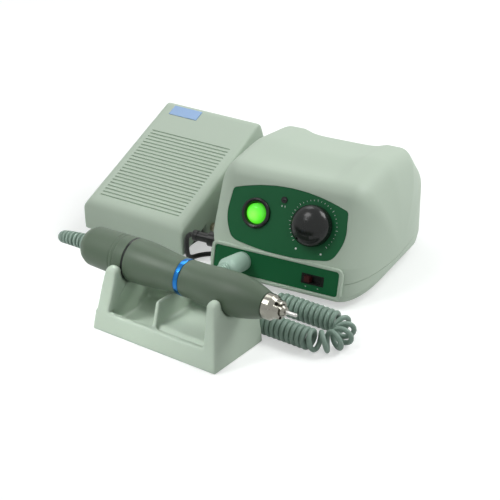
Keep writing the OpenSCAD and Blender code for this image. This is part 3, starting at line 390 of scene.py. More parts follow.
@dataclass(frozen=True)
class Finish:
    """A surface of moulded plastic, rubber, film or coating."""

    name: str
    slot: Slot
    colour: Point3
    gloss: float = 0.45
    drift: float = 0.04
    grain: float = 1500
    depth: float = 0.00002
    marks: float = 0.08
    coat: float = 0.0
    specular: float = 0.5
    coat_gloss: float = 0.08

    def material(self) -> bpy.types.Material:
        """Gives the finish's material, built at its first use.

        Returns:
            The material.
        """
        found = bpy.data.materials.get(self.name)
        if found is not None:
            return found
        material = bpy.data.materials.new(self.name)
        material.use_nodes = True
        tree = material.node_tree
        shader = tree.nodes["Principled BSDF"]
        place = tree.nodes.new("ShaderNodeTexCoord").outputs["Object"]
        effect = tree.nodes.new("ShaderNodeGroup")
        self.apply(tree, shader, effect, place)
        bump = tree.nodes.new("ShaderNodeBump")
        bump.inputs["Strength"].default_value = 1.0
        bump.inputs["Distance"].default_value = self.depth
        tree.links.new(effect.outputs["Height"], bump.inputs["Height"])
        tree.links.new(bump.outputs["Normal"], shader.inputs["Normal"])
        tree.links.new(effect.outputs["Colour"], shader.inputs["Base Color"])
        tree.links.new(effect.outputs["Roughness"], shader.inputs["Roughness"])
        self.extend(tree, shader, place)
        material.diffuse_color = (*self.colour, 1)
        return material

    def apply(self, tree: Tree, shader: Node, effect: Node, place: Socket) -> None:
        """Sets the shared effect and the shader's plain values.

        Args:
            tree: The material's tree.
            shader: Its Principled shader.
            effect: The empty group node.
            place: Socket with the object coordinates.
        """
        effect.node_tree = Effects.skin()
        tree.links.new(place, effect.inputs["Place"])
        effect.inputs["Colour"].default_value = (*self.colour, 1)
        effect.inputs["Drift"].default_value = self.drift
        effect.inputs["Gloss"].default_value = self.gloss
        effect.inputs["Grain"].default_value = self.grain
        effect.inputs["Marks"].default_value = self.marks
        shader.inputs["Coat Weight"].default_value = self.coat
        shader.inputs["Coat Roughness"].default_value = self.coat_gloss
        shader.inputs["Specular IOR Level"].default_value = self.specular

    def extend(self, tree: Tree, shader: Node, place: Socket) -> None:
        """Adds what a special finish needs; a plain one needs nothing."""


@dataclass(frozen=True)
class TurnedMetal(Finish):
    """A bare or plated metal with the marks of the lathe."""

    tarnish: float = 0.08

    def apply(self, tree: Tree, shader: Node, effect: Node, place: Socket) -> None:
        """Sets the rings of the lathe and a metal's plain values."""
        effect.node_tree = Effects.lathe()
        tree.links.new(place, effect.inputs["Place"])
        effect.inputs["Colour"].default_value = (*self.colour, 1)
        effect.inputs["Gloss"].default_value = self.gloss
        effect.inputs["Tarnish"].default_value = self.tarnish
        shader.inputs["Metallic"].default_value = 1.0


@dataclass(frozen=True)
class LitLens(Finish):
    """A tinted lens lit by the switch's own lamp, brightest below its middle, where a yellow-white painted
    highlight sits.
    """

    middle: Point3 = (0, 0, 0)
    reach: float = 9.5
    glow: float = 0.9
    # The yellow-white centre colour of the glow is a painted highlight; body and rim give the lamp's green
    # glow fading outwards.
    highlight_core: Point3 = (0.42, 1.0, 0.16)
    body: Point3 = (0.12, 0.90, 0.03)
    rim: Point3 = (0.02, 0.24, 0.01)

    def extend(self, tree: Tree, shader: Node, place: Socket) -> None:
        """Adds the glow of the switch's lamp, which fades from its bright centre to the lens's rim; the
        yellow-white centre is a painted highlight.
        """
        centred = tree.nodes.new("ShaderNodeVectorMath")
        centred.operation = "DISTANCE"
        centred.inputs[1].default_value = self.middle
        tree.links.new(place, centred.inputs[0])
        fade = tree.nodes.new("ShaderNodeValToRGB")
        near, far = fade.color_ramp.elements
        near.position, near.color = 0.0, (*self.highlight_core, 1)
        far.position, far.color = 1.0, (*self.rim, 1)
        fade.color_ramp.elements.new(0.5).color = (*self.body, 1)
        share = Nodes.maths(tree, "DIVIDE", centred.outputs["Value"], self.reach * MM)
        tree.links.new(share, fade.inputs["Fac"])
        tree.links.new(fade.outputs["Color"], shader.inputs["Emission Color"])
        shader.inputs["Emission Strength"].default_value = self.glow


class Finishes:
    """The finishes of the set's pieces."""

    CASING = Finish(
        "sage_casing", Slot.CASING, (0.50, 0.60, 0.495),
        gloss=0.50, drift=0.03, grain=2600, depth=12e-6, marks=0.06, specular=0.4,
    )
    TRAY = Finish(
        "pedal_tray_plastic", Slot.PEDAL_TRAY, (0.10, 0.12, 0.10),
        gloss=0.55, drift=0.05, grain=1800, depth=30e-6, specular=0.3,
    )
    FILM = Finish(
        "green_panel_film", Slot.PANEL, (0.008, 0.118, 0.040),
        gloss=0.42, grain=3200, depth=6e-6, marks=0.05, specular=0.22,
    )
    INK = Finish(
        "white_panel_ink", Slot.PANEL, (0.80, 0.86, 0.82),
        gloss=0.5, drift=0.03, grain=3000, depth=4e-6, marks=0.04,
    )
    GLOSS = Finish(
        "black_gloss_plastic", Slot.BLACK_GLOSS, (0.008, 0.010, 0.009),
        gloss=0.20, drift=0.05, grain=900, depth=4e-6, marks=0.05, specular=0.32,
    )
    BLACK = Finish(
        "black_satin_plastic", Slot.BLACK_PLASTIC, (0.008, 0.009, 0.008),
        gloss=0.34, drift=0.06, grain=2200, depth=10e-6, specular=0.28,
    )
    SLIDER = Finish(
        "red_slider_plastic", Slot.SLIDER, (0.045, 0.006, 0.007),
        gloss=0.40, drift=0.05, grain=2400, marks=0.05, specular=0.3,
    )
    RUBBER = Finish(
        "black_foot_rubber", Slot.RUBBER, (0.020, 0.020, 0.019),
        gloss=0.75, drift=0.08, grain=1600, depth=40e-6, marks=0.10, specular=0.3,
    )
    CABLE = Finish(
        "black_cable_sheath", Slot.CABLE, (0.009, 0.010, 0.009),
        gloss=0.40, drift=0.06, grain=2600, depth=10e-6, specular=0.3,
    )
    CORD = Finish(
        "grey_green_cord", Slot.CORD, (0.215, 0.31, 0.255),
        gloss=0.42, drift=0.05, grain=2600, specular=0.4,
    )
    PLUG = Finish("grey_green_plug", Slot.CORD, (0.42, 0.575, 0.49), grain=2600, specular=0.4)
    BOOT = Finish(
        "grey_green_boot", Slot.CORD, (0.26, 0.355, 0.30),
        gloss=0.50, drift=0.06, grain=2200, marks=0.10, specular=0.35,
    )
    GRIP = Finish(
        "olive_grip_coating", Slot.GRIP, (0.082, 0.120, 0.079),
        gloss=0.44, drift=0.08, grain=1900, marks=0.12, specular=0.36,
    )
    BOARD = Finish(
        "solder_mask", Slot.BOARD, (0.02, 0.14, 0.05),
        gloss=0.3, drift=0.08, grain=1200, marks=0.05,
    )
    CARBON = Finish(
        "pressed_carbon", Slot.CARBON, (0.02, 0.02, 0.02),
        gloss=0.7, drift=0.08, grain=2400, depth=40e-6, marks=0.1,
    )
    IRON = Finish(
        "laminated_iron", Slot.IRON, (0.10, 0.10, 0.10),
        gloss=0.55, drift=0.12, grain=1400, depth=50e-6, marks=0.15,
    )
    COPPER = Finish(
        "enamelled_wire", Slot.COPPER, (0.42, 0.15, 0.05),
        gloss=0.35, drift=0.12, grain=1600, depth=60e-6, marks=0.1,
    )
    PLATE = Finish(
        "blue_bare_plate", Slot.PLATE, (0.22, 0.40, 0.70),
        gloss=0.30, drift=0.12, grain=1800, depth=10e-6, coat=0.2,
    )
    ACCENT = TurnedMetal("blue_accent_metal", Slot.ACCENT, (0.02, 0.15, 0.42), gloss=0.14)
    CHROME = TurnedMetal("warm_chrome", Slot.CHROME, (0.26, 0.255, 0.22), gloss=0.13, depth=3e-6)
    STEEL = TurnedMetal("turned_steel", Slot.STEEL, (0.42, 0.42, 0.40), gloss=0.28, depth=5e-6)
    BRASS = TurnedMetal("nickelled_brass", Slot.BRASS, (0.50, 0.45, 0.33), gloss=0.26, depth=5e-6)
    # The lens glows with the switch's lamp and carries a painted highlight below its middle.
    LENS = LitLens(
        "lit_green_lens", Slot.LENS, (0.02, 0.34, 0.012),
        gloss=0.20, drift=0.05, grain=900, depth=4e-6, marks=0.04,
    )


# Modelling


def drawn_curve(name: str, points: Sequence[Vector], thick: float, smooth: int) -> Object:
    """Draws a round open curve through points.

    Args:
        name: Name of the curve.
        points: Its points.
        thick: Its radius.
        smooth: Fineness of its round section.

    Returns:
        The curve object.
    """
    curve = bpy.data.curves.new(name, "CURVE")
    curve.dimensions = "3D"
    curve.bevel_depth = thick
    curve.bevel_resolution = smooth
    curve.use_fill_caps = True
    spline = curve.splines.new("POLY")
    spline.points.add(len(points) - 1)
    for point, at in zip(spline.points, points):
        point.co = (*at, 1)
    obj = bpy.data.objects.new(name, curve)
    bpy.context.scene.collection.objects.link(obj)
    return obj


class Workpiece:
    """One mesh under construction, drawn in millimetres in its sub-assembly's frame."""

    TURNED_WELD = 0.002
    COPY_WELD = 0.005
    SKIN_WELD = 0.01
    TUBE_FINENESS = 8
    SMOOTHING = 0.5

    def __init__(self, name: str, obj: Object) -> None:
        """Takes over an object that was just added."""
        self.obj = obj
        obj.name = name
        obj.data.name = name

    @staticmethod
    def clear() -> None:
        """Leaves nothing selected."""
        bpy.ops.object.select_all(action="DESELECT")

    @classmethod
    def point(cls, name: str, at: Point3) -> "Workpiece":
        """Starts a mesh from one vertex, left selected in edit mode.

        Args:
            name: Name of the piece.
            at: Place of the vertex.

        Returns:
            The new workpiece.
        """
        cls.clear()
        bpy.ops.mesh.primitive_plane_add(size=1, location=(0, 0, 0))
        piece = cls(name, bpy.context.object)
        bpy.ops.object.mode_set(mode="EDIT")
        bpy.ops.mesh.select_all(action="SELECT")
        bpy.ops.mesh.merge(type="CENTER")
        bpy.ops.transform.translate(value=at)
        return piece

    @classmethod
    def line(cls, name: str, points: Sequence[Sequence[float]]) -> "Workpiece":
        """Draws a chain of edges by extruding one vertex, left selected in edit mode.

        Args:
            name: Name of the piece.
            points: Points of the chain.

        Returns:
            The new workpiece.
        """
        piece = cls.point(name, tuple(points[0]))
        for here, there in zip(points, points[1:]):
            step = Vector(there) - Vector(here)
            bpy.ops.mesh.extrude_region_move(TRANSFORM_OT_translate={"value": step})
        bpy.ops.mesh.select_all(action="SELECT")
        return piece

    @classmethod
    def turned(cls, name: str, profile: Sequence[Point2], steps: int = 72) -> "Workpiece":
        """Spins a profile about the X axis.

        Args:
            name: Name of the piece.
            profile: Points (along the axis, radius).
            steps: Number of steps round.

        Returns:
            The new workpiece.
        """
        piece = cls.line(name, [(x, 0, max(r, 0)) for x, r in profile])
        bpy.ops.mesh.spin(steps=steps, angle=2 * math.pi, center=(0, 0, 0), axis=(1, 0, 0))
        bpy.ops.mesh.select_all(action="SELECT")
        bpy.ops.mesh.remove_doubles(threshold=cls.TURNED_WELD)
        bpy.ops.mesh.normals_make_consistent(inside=False)
        bpy.ops.object.mode_set(mode="OBJECT")
        return piece

    @classmethod
    def plate(cls, name: str, outline: Sequence[Point2], low: float, high: float) -> "Workpiece":
        """Extrudes an outline into a plate.

        Args:
            name: Name of the piece.
            outline: Points of the outline, in the plane of x and y.
            low: Height of the lower face.
            high: Height of the upper face.

        Returns:
            The new workpiece.
        """
        piece = cls.line(name, [(x, y, low) for x, y in outline])
        bpy.ops.mesh.edge_face_add()
        bpy.ops.mesh.extrude_region_move(TRANSFORM_OT_translate={"value": (0, 0, high - low)})
        bpy.ops.mesh.select_all(action="SELECT")
        bpy.ops.mesh.normals_make_consistent(inside=False)
        bpy.ops.object.mode_set(mode="OBJECT")
        return piece

    @classmethod
    def block(cls, name: str, low: Point3, high: Point3) -> "Workpiece":
        """Adds a box between two corners.

        Args:
            name: Name of the piece.
            low: Lowest corner.
            high: Highest corner.

        Returns:
            The new workpiece.
        """
        cls.clear()
        a, b = Vector(low), Vector(high)
        bpy.ops.mesh.primitive_cube_add(size=1, location=(a + b) / 2, scale=b - a)
        piece = cls(name, bpy.context.object)
        bpy.ops.object.transform_apply(location=True, rotation=True, scale=True)
        return piece

    @classmethod
    def rod(cls, name: str, foot: Point3, radius: float, height: float, sides: int = 64) -> "Workpiece":
        """Adds an upright cylinder.

        Args:
            name: Name of the piece.
            foot: Middle of its lower end.
            radius: Its radius.
            height: Its height.
            sides: Number of sides.

        Returns:
            The new workpiece.
        """
        cls.clear()
        middle = Vector(foot) + Vector((0, 0, height / 2))
        bpy.ops.mesh.primitive_cylinder_add(vertices=sides, radius=radius, depth=height, location=middle)
        piece = cls(name, bpy.context.object)
        bpy.ops.object.transform_apply(location=True, rotation=True, scale=True)
        return piece

    @classmethod
    def skin(cls, name: str, rings: Sequence[Sequence[Point3]]) -> "Workpiece":
        """Stretches a grid over rings of points.

        Args:
            name: Name of the piece.
            rings: The rings, each with the same number of points.

        Returns:
            The new workpiece, open along its ends.
        """
        cls.clear()
        across, along = len(rings[0]), len(rings)
        bpy.ops.mesh.primitive_grid_add(x_subdivisions=across - 1, y_subdivisions=along - 1, size=1)
        piece = cls(name, bpy.context.object)
        vertices = piece.obj.data.vertices
        for vertex, at in zip(vertices, (p for ring in rings for p in ring)):
            vertex.co = at
        return piece.merge(cls.SKIN_WELD)

    @classmethod
    def tube(cls, name: str, route: Sequence[Vector], radii: Sequence[float]) -> "Workpiece":
        """Draws a round tube along a route, as thick at each point as its radius says.

        Args:
            name: Name of the piece.
            route: Points of its middle line.
            radii: Radius at each point.

        Returns:
            The new workpiece, closed at both ends.
        """
        obj = drawn_curve(name, route, 1.0, cls.TUBE_FINENESS)
        for point, radius in zip(obj.data.splines[0].points, radii):
            point.radius = radius
        return cls.converted(name, obj).merge(cls.TURNED_WELD)

    @classmethod
    def converted(cls, name: str, obj: Object) -> "Workpiece":
        """Turns a curve object into a mesh of the same name.

        Args:
            name: Name of the piece.
            obj: The curve object.

        Returns:
            The new workpiece.
        """
        piece = cls(name, obj)
        piece.pick()
        bpy.ops.object.convert(target="MESH")
        return piece

    @classmethod
    def copy_of(cls, name: str, node: str, place: Matrix) -> "Workpiece":
        """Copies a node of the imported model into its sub-assembly's frame.

        Args:
            name: Name of the piece.
            node: Name of the node.
            place: Place of the sub-assembly.

        Returns:
            The new workpiece, with its loose triangles merged.
        """
        cls.clear()
        obj = bpy.data.objects.new(name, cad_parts[node].data.copy())
        bpy.context.scene.collection.objects.link(obj)
        obj.data.materials.clear()
        obj.data.transform(place.inverted() @ Matrix.Scale(1 / MM, 4))
        return cls(name, obj).merge(cls.COPY_WELD)

    def pick(self) -> None:
        """Makes this the only selected object and the active one."""
        self.clear()
        self.obj.select_set(True)
        bpy.context.view_layer.objects.active = self.obj

    def edit(self) -> None:
        """Opens this mesh in edit mode with all of it selected."""
        self.pick()
        bpy.ops.object.mode_set(mode="EDIT")
        bpy.ops.mesh.select_all(action="SELECT")

    def merge(self, distance: float) -> "Workpiece":
        """Merges near vertices and turns the faces outwards.

        Args:
            distance: Distance below which vertices merge.

        Returns:
            This workpiece.
        """
        self.edit()
        bpy.ops.mesh.remove_doubles(threshold=distance)
        bpy.ops.mesh.normals_make_consistent(inside=False)
        bpy.ops.object.mode_set(mode="OBJECT")
        return self

    def slice(self, at: Point3, normal: Sequence[float]) -> "Workpiece":
        """Cuts off what lies beyond a plane and closes the cut.

        Args:
            at: A point of the plane.
            normal: The plane's normal, towards what goes.

        Returns:
            This workpiece.
        """
        self.edit()
        unit = Vector(normal).normalized()
        bpy.ops.mesh.bisect(plane_co=at, plane_no=unit, use_fill=True, clear_outer=True)
        bpy.ops.object.mode_set(mode="OBJECT")
        return self

    def modify(self, kind: str, **values: object) -> "Workpiece":
        """Adds a modifier with its values and applies it.

        Args:
            kind: Type of the modifier.
            values: Its settings.

        Returns:
            This workpiece.
        """
        self.pick()
        bpy.ops.object.modifier_add(type=kind)
        modifier = self.obj.modifiers[-1]
        for name, value in values.items():
            setattr(modifier, name, value)
        bpy.ops.object.modifier_apply(modifier=modifier.name)
        return self

    def rounded(self, width: float, segments: int = 3) -> "Workpiece":
        """Rounds all sharp edges.

        Args:
            width: Width of the rounding.
            segments: Number of steps across it.

        Returns:
            This workpiece.
        """
        limit = math.radians(30)
        return self.modify("BEVEL", width=width, segments=segments, limit_method="ANGLE", angle_limit=limit)

    def hollowed(self, wall: float) -> "Workpiece":
        """Makes an open skin into a shell whose wall grows inwards."""
        return self.modify("SOLIDIFY", thickness=wall, offset=-1, use_rim=True)

    def open_where(self, test: Callable[[Vector], bool]) -> "Workpiece":
        """Deletes the faces whose normals pass a test.

        Args:
            test: Says from a face's normal whether it goes.

        Returns:
            This workpiece.
        """
        self.pick()
        bpy.ops.object.mode_set(mode="EDIT")
        bpy.ops.mesh.select_all(action="DESELECT")
        bpy.ops.object.mode_set(mode="OBJECT")
        for face in self.obj.data.polygons:
            face.select = test(face.normal)
        bpy.ops.object.mode_set(mode="EDIT")
        bpy.ops.mesh.select_mode(type="FACE")
        bpy.ops.mesh.delete(type="FACE")
        bpy.ops.mesh.select_mode(type="VERT")
        bpy.ops.object.mode_set(mode="OBJECT")
        return self

    def moved(self, matrix: Matrix) -> "Workpiece":
        """Moves the mesh by a matrix.

        Args:
            matrix: The matrix.

        Returns:
            This workpiece.
        """
        self.obj.data.transform(matrix)
        self.obj.data.update()
        return self

    def cut(self, *cutters: "Workpiece") -> "Workpiece":
        """Takes other workpieces out of this one and deletes them.

        Args:
            cutters: The other workpieces.

        Returns:
            This workpiece.
        """
        for cutter in cutters:
            self.modify("BOOLEAN", operation="DIFFERENCE", object=cutter.obj, solver="EXACT")
            bpy.data.objects.remove(cutter.obj)
        return self

    def joined(self, *others: "Workpiece") -> "Workpiece":
        """Joins other meshes to this one without fusing them.

        Args:
            others: The other workpieces.

        Returns:
            This workpiece.
        """
        self.pick()
        for other in others:
            other.obj.select_set(True)
        bpy.ops.object.join()
        return self

    def remade(self, voxel: float, times: int) -> "Workpiece":
        """Remakes the mesh in small even faces and softens its edges.

        Args:
            voxel: Size of the faces.
            times: Number of smoothings.

        Returns:
            This workpiece.
        """
        self.pick()
        self.obj.data.remesh_voxel_size = voxel
        self.obj.data.remesh_voxel_adaptivity = 0.0
        bpy.ops.object.voxel_remesh()
        return self.modify("SMOOTH", factor=self.SMOOTHING, iterations=times)

    def settle(
        self, place: Matrix, body: Body, finish: Finish, replaces: Sequence[str] = (), angle: float = 32
    ) -> Object:
        """Puts the piece in its place, dresses it and makes it ride on its body.

        Args:
            place: Place of the sub-assembly, in millimetres.
            body: Body that the piece moves with.
            finish: Its finish.
            replaces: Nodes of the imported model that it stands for.
            angle: Angle in degrees above which an edge stays sharp.

        Returns:
            The finished object.
        """
        self.pick()
        self.obj.data.transform(Matrix.Scale(MM, 4) @ place)
        self.obj.data.update()
        bpy.ops.object.shade_smooth_by_angle(angle=math.radians(angle))
        self.obj.data.materials.clear()
        self.obj.data.materials.append(finish.material())
        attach(self.obj, body.value)
        if replaces:
            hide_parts(*replaces)
        LOG.info("%s rides on %s with %s", self.obj.name, body.value, finish.name)
        return self.obj


# Cords


@dataclass
class Cord:
    """A free cord that follows a given route.

    With a slack it becomes a mesh in its place; without one it stays a curve that rides on the set.
    """

    name: str
    diameter: float
    finish: Finish
    nodes: tuple[str, ...]
    points: list[Vector] = field(default_factory=list)
    slack: tuple[Point3, Point3] | None = None
    fineness: int = 4

    def length(self) -> float:
        """Gives the length of the route in metres."""
        return sum((b - a).length for a, b in zip(self.points, self.points[1:])) * MM

    def build(self, far_end: str, with_pieces: Sequence[Object]) -> None:
        """Args:
            far_end: Not used.
            with_pieces: Not used.
        """
        route = [at * MM for at in self.points]
        obj = drawn_curve(self.name, route, self.diameter / 2 * MM, self.fineness)
        obj.data.materials.append(self.finish.material())
        if self.slack:
            Workpiece.converted(self.name, obj)
            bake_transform(obj)
        else:
            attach(obj, Body.SET.value)
        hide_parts(*self.nodes)
        LOG.info("%s is %.3f m long", self.name, self.length())


@dataclass
class HandpieceCord:
    """The curly cord from the handpiece's boot to its plug on the box."""

    diameter: float = 3.3
    outer: float = 14.6
    pitch: float = 3.75
    front: int = 13
    turn: int = 6
    back: int = 12
    start: Point2 = (56.5, -60)
    gap: float = 27
    steps: int = 20
    ease: float = 1.2
    lead: float = 4
    slack: tuple[Point3, Point3] = ((-66.2, -77, 0), (26.5, -63, 0))

    boot_lead: tuple[Point3, ...] = (
        (-69.72, -83.93, 35.22), (-70.1, -82.1, 33.9), (-68.9, -79.2, 31.4), (-66.2, -77, 29.4),
        (-62.5, -74.4, 26), (-56.5, -72.4, 21.6), (-48.5, -70.6, 16.2), (-39.5, -69.2, 10.8),
        (-30.5, -67.7, 6.2), (-20.5, -66, 2.9), (-9.5, -65, 1.75), (2.5, -64.5, 1.75),
        (14.5, -64, 1.75), (26.5, -63, 2.1), (36.5, -61.5, 4), (44.5, -60.3, 6.2), (49.5, -60, 7.4),
        (53.1, -60, 7.4),
    )
    plug_lead: tuple[Point3, ...] = (
        (28.3, -52.5, 26.8), (28.9, -56, 27.6), (30.3, -60.2, 27.2), (33.3, -63.6, 24.2),
        (36.9, -64.6, 19.4), (40.7, -62, 14.6), (44.3, -56.6, 11), (46.7, -50, 9), (48.1, -42.8, 7.9),
        (50.3, -35.8, 7.4), (53.5, -33.3, 7.4), (56.8, -33, 7.4),
    )

    def curls(self) -> list[Vector]:
        """Winds the curls along a front run, a half turn and a back run.

        Returns:
            The points of the wound stretch.
        """
        count = self.front + self.turn + self.back
        front_l, turn_l = self.front * self.pitch, math.pi * self.gap / 2
        z, radius = self.outer / 2 + 0.1, (self.outer - self.diameter) / 2
        hub = Vector((self.start[0] + front_l, self.start[1] + self.gap / 2, z))
        points: list[Vector] = []
        for k in range(-self.steps // 4, self.steps * count + self.steps // 4 + 1):
            t = min(count, max(0.0, k / self.steps))
            if t < self.front:
                s = t * self.pitch
            elif t < self.front + self.turn:
                s = front_l + (t - self.front) * turn_l / self.turn
            else:
                s = front_l + turn_l + (t - self.front - self.turn) * self.pitch
            s += (k / self.steps - t) * self.lead * self.diameter
            a = math.pi * min(1.0, max(0.0, (s - front_l) / turn_l))
            if s < front_l:
                middle = Vector((self.start[0] + s, self.start[1], z))
            elif s > front_l + turn_l:
                middle = hub + Vector((front_l + turn_l - s, self.gap / 2, 0))
            else:
                middle = hub + self.gap / 2 * Vector((math.sin(a), -math.cos(a), 0))
            w = 2 * math.pi * t
            r = radius * eased(t / self.ease) * eased((count - t) / self.ease)
            around = Vector((math.sin(w) * math.sin(a), -math.sin(w) * math.cos(a), math.cos(w)))
            points.append(middle + r * around)
        return points

    def build(self, plug: Object) -> None:
        """Joins the leads to the curls and lays the cord."""
        points = routed(self.boot_lead, 6)[:-2] + self.curls() + routed(self.plug_lead[::-1], 6)[2:]
        nodes = ("boot_lead", "curly_cord", "plug_lead")
        cord = Cord("handpiece_cord", self.diameter, Finishes.CORD, nodes, points, self.slack)
        cord.build("plug", [plug])


@dataclass
class PedalCable:
    """The black cable from the box to the pedal, with its spare length in a tied coil."""

    diameter: float = 3.4
    middle: Point2 = (2.5, 145.4)
    turns: float = 8.75
    outer: float = 30
    inner: float = 12.5
    low: float = 2.6
    clear: float = 0.5
    steps: int = 32

    near: tuple[Point3, ...] = (
        (-20.5, -14, 23.5), (-23, -14.4, 23.1), (-24.9, -14.7, 21), (-25.6, -14.8, 17.8),
        (-25.9, -14.6, 13.2), (-26.2, -13.6, 8.4), (-26.7, -11.4, 4.4), (-26.6, -7.6, 2.2),
        (-25.2, -2.6, 1.75), (-22.6, 1.4, 1.75), (-19.6, 4.6, 1.75), (-17, 9, 1.75), (-15.6, 15, 1.75),
        (-15.8, 24, 1.75), (-17, 35, 1.75), (-19, 49, 1.75), (-21, 63, 1.75), (-23.2, 78, 1.75),
        (-25.2, 93, 1.75), (-26.6, 108, 1.9), (-27.4, 124, 2.3), (-27.5, 137, 2.6), (-27.5, 142, 2.6),
    )
    far: tuple[Point3, ...] = (
        (-56.8, 91.9, 8.5), (-57, 95.6, 8.5), (-57.2, 100, 8), (-56.9, 106, 6), (-54.6, 112, 3.6),
        (-50, 116.4, 2.3), (-43.5, 118, 2.8), (-37.1, 117, 5), (-30.5, 116, 6.5), (-23.5, 115.5, 6.5),
        (-13.5, 115.4, 6.5), (-4.5, 115.4, 6.5), (-0.9, 115.4, 6.5),
    )

    def coil(self) -> list[Vector]:
        """Winds the spare length in on the floor and out again on top.

        Returns:
            The points of the coil.
        """
        total = round(self.steps * self.turns)
        points: list[Vector] = []
        for k in range(total + 1):
            t = k / total
            a = math.pi - 2 * math.pi * self.turns * t
            r = self.inner + (self.outer - self.inner) * abs(1 - 2 * t)
            up = (self.diameter + self.clear) * eased((t - 0.5) * self.turns + 0.5)
            x, y = self.middle
            points.append(Vector((x + r * math.cos(a), y + r * math.sin(a), self.low + up)))
        return points

    def build(self, plug: Object) -> None:
        """Joins the leads to the coil and lays the cable."""
        points = routed(self.near, 4) + self.coil() + routed(self.far[::-1], 4)
        nodes = ("pedal_cable", "cable_coil", "gland_cable")
        cable = Cord("foot_cable", self.diameter, Finishes.CABLE, nodes, points)
        cable.build("object", [plug])


# Control box


@dataclass
class ControlCase:
    """The rounded cover and base of the control box."""

    half: float = 62
    flat: float = 40
    depth: float = 130
    height: float = 78.5
    seam: float = 17.5
    wall: float = 2.4
    dip: float = 3
    ridge: float = 30
    power: float = 2.2
    foot: float = 3
    lip_z: float = 8.8
    lip_t: float = 2
    lower_lean: float = 13
    upper_lean: float = 24
    upper_y: float = 6
    upper_z: float = 26.9
    line: float = 0.15
    dip_run: float = 22
    dip_z: float = 45
    dip_rise: float = 20
    eye_half: float = 42
    eye_rise: float = 22.5
    eye_mid: Point2 = (1.2, 23)
    bore_low: float = -12
    bore_l: float = 14
    switch_bore: float = 9.15
    knob_bore: float = 3.65
    lamp_bore: float = 1.85
    plug_bore: float = 6.15
    jack_bore: float = 5.15
    screw_bore: float = 3.15
    screw_at: Point2 = (54, 32)
    selector_low: Point2 = (18.85, 5.95)
    selector_high: Point2 = (34.75, 12.85)
    inlet_low: Point2 = (2.35, 25.05)
    inlet_high: Point2 = (29.65, 44.95)

    def front(self, z: float) -> float:
        """Gives the place of the lower front slope at a height."""
        lean = math.radians(self.lower_lean)
        return (z - self.lip_z) * math.tan(lean) + self.lip_t / math.cos(lean)

    def brow(self, z: float) -> float:
        """Gives the place of the upper front slope at a height."""
        return self.upper_y + (z - self.upper_z) * math.tan(math.radians(self.upper_lean))

    def kink(self) -> float:
        """Gives the height at which the two front slopes meet."""
        low, high = math.tan(math.radians(self.lower_lean)), math.tan(math.radians(self.upper_lean))
        return (self.front(0) - self.brow(0)) / (high - low)

    def cover_line(self) -> list[Point2]:
        """Gives the cover's middle section, from the front seam over the top to the rear seam."""
        z, top, d = self.kink(), self.height, self.depth
        return filleted(
            [
                (self.front(self.seam), self.seam, 0), (self.front(z), z, 2),
                (self.brow(top - 3), top - 3, 14), (d / 2 + 5, top, 60), (d - 20, top - 6, 7),
                (d, top - 27, 3), (d, self.seam, 0),
            ],
            12, False,
        )

    def base_line(self) -> list[Point2]:
        """Gives the base's middle section, from the rear seam under the floor to the front seam."""
        d, f = self.depth, self.foot
        return filleted(
            [
                (d, self.seam, 0), (d, self.seam - 7, 2.5), (d - 6, f, 2.5), (8, f, 2),
                (self.front(8), 8, 1.5), (self.front(self.seam), self.seam, 0),
            ],
            5, False,
        )

    def valley(self, x: float, y: float, z: float) -> float:
        """Gives how far the top sinks between its ridges."""
        across = 1 - min(1.0, abs(x) / self.ridge) ** 6
        along = eased((y - self.brow(self.height - 3)) / self.dip_run)
        return self.dip * across * along * eased((z - self.dip_z) / self.dip_rise)

    def refined(self, line: Sequence[Point2], step: float) -> list[Point2]:
        """Splits the long stretches of a line.

        Args:
            line: The line.
            step: Longest stretch that stays whole.

        Returns:
            The line with more points.
        """
        fine = [line[0]]
        for (ax, ay), (bx, by) in zip(line, line[1:]):
            count = max(1, math.ceil(math.hypot(bx - ax, by - ay) / step))
            fine += [(ax + (bx - ax) * k / count, ay + (by - ay) * k / count) for k in range(1, count + 1)]
        return fine

    def rings(self, line: Sequence[Point2], lift: float) -> list[list[Point3]]:
        """Sweeps a section across the box, closing it towards both sides.

        Args:
            line: The middle section.
            lift: Distance by which its ends stay off the seam.

        Returns:
            The rings of the skin, from right to left.
        """
        swell, centre = self.half - self.flat, self.depth / 2
        side = [self.flat + swell * math.sin(math.radians(a)) for a in range(90, 0, -5)]
        middle = [self.flat * k / 14 for k in range(14, -15, -1)]
        swept: list[list[Point3]] = []
        for x in side + middle + [-s for s in side[::-1]]:
            u = max(0.0, (abs(x) - self.flat) / swell)
            share = max(0.0, 1 - min(1.0, u) ** self.power) ** (1 / self.power)
            ring: list[Point3] = []
            for y, z in line:
                sunk = z - self.valley(x, y, z)
                height = self.seam + lift + (sunk - self.seam) * share
                ring.append((x, centre + (y - centre) * share, height))
            swept.append(ring)
        return swept

    def eye(self, grow: float) -> list[Point2]:
        """Gives the outline of the upper panel.

        Args:
            grow: Distance by which it is wider all round.

        Returns:
            The outline.
        """
        w, k = self.eye_half + grow, (self.eye_rise + grow) / self.eye_rise
        u, v = self.eye_mid
        turns = [
            (-w + 1, 38, 3), (0, 50, 118), (w - 1, 38, 3), (w + 1, 18, 28), (w - 6, 5, 9),
            (0, -1.5, 170), (-w + 6, 5, 9), (-w - 1, 18, 28),
        ]
        return filleted([(u + x, v + (y - v) * k, r) for x, y, r in turns], 10)

    def bore(self, name: str, at: Point2, radius: float, sides: int = 64) -> Workpiece:
        """Makes the cutter of a round opening, in a panel's frame."""
        return Workpiece.rod(name, (*at, self.bore_low), radius, self.bore_l, sides)

    def strip_cutters(self) -> list[Workpiece]:
        """Makes the cutters of the lower panel's two openings.

        Returns:
            The cutters, in the box's frame.
        """
        low, high = (*self.selector_low, self.bore_low), (*self.selector_high, 1)
        selector = Workpiece.block("selector_cutter", low, high)
        pieces = (self.bore("plug_cutter", PLUG_AT, self.plug_bore), selector)
        return [piece.moved(BOX.inverted() @ LOWER) for piece in pieces]

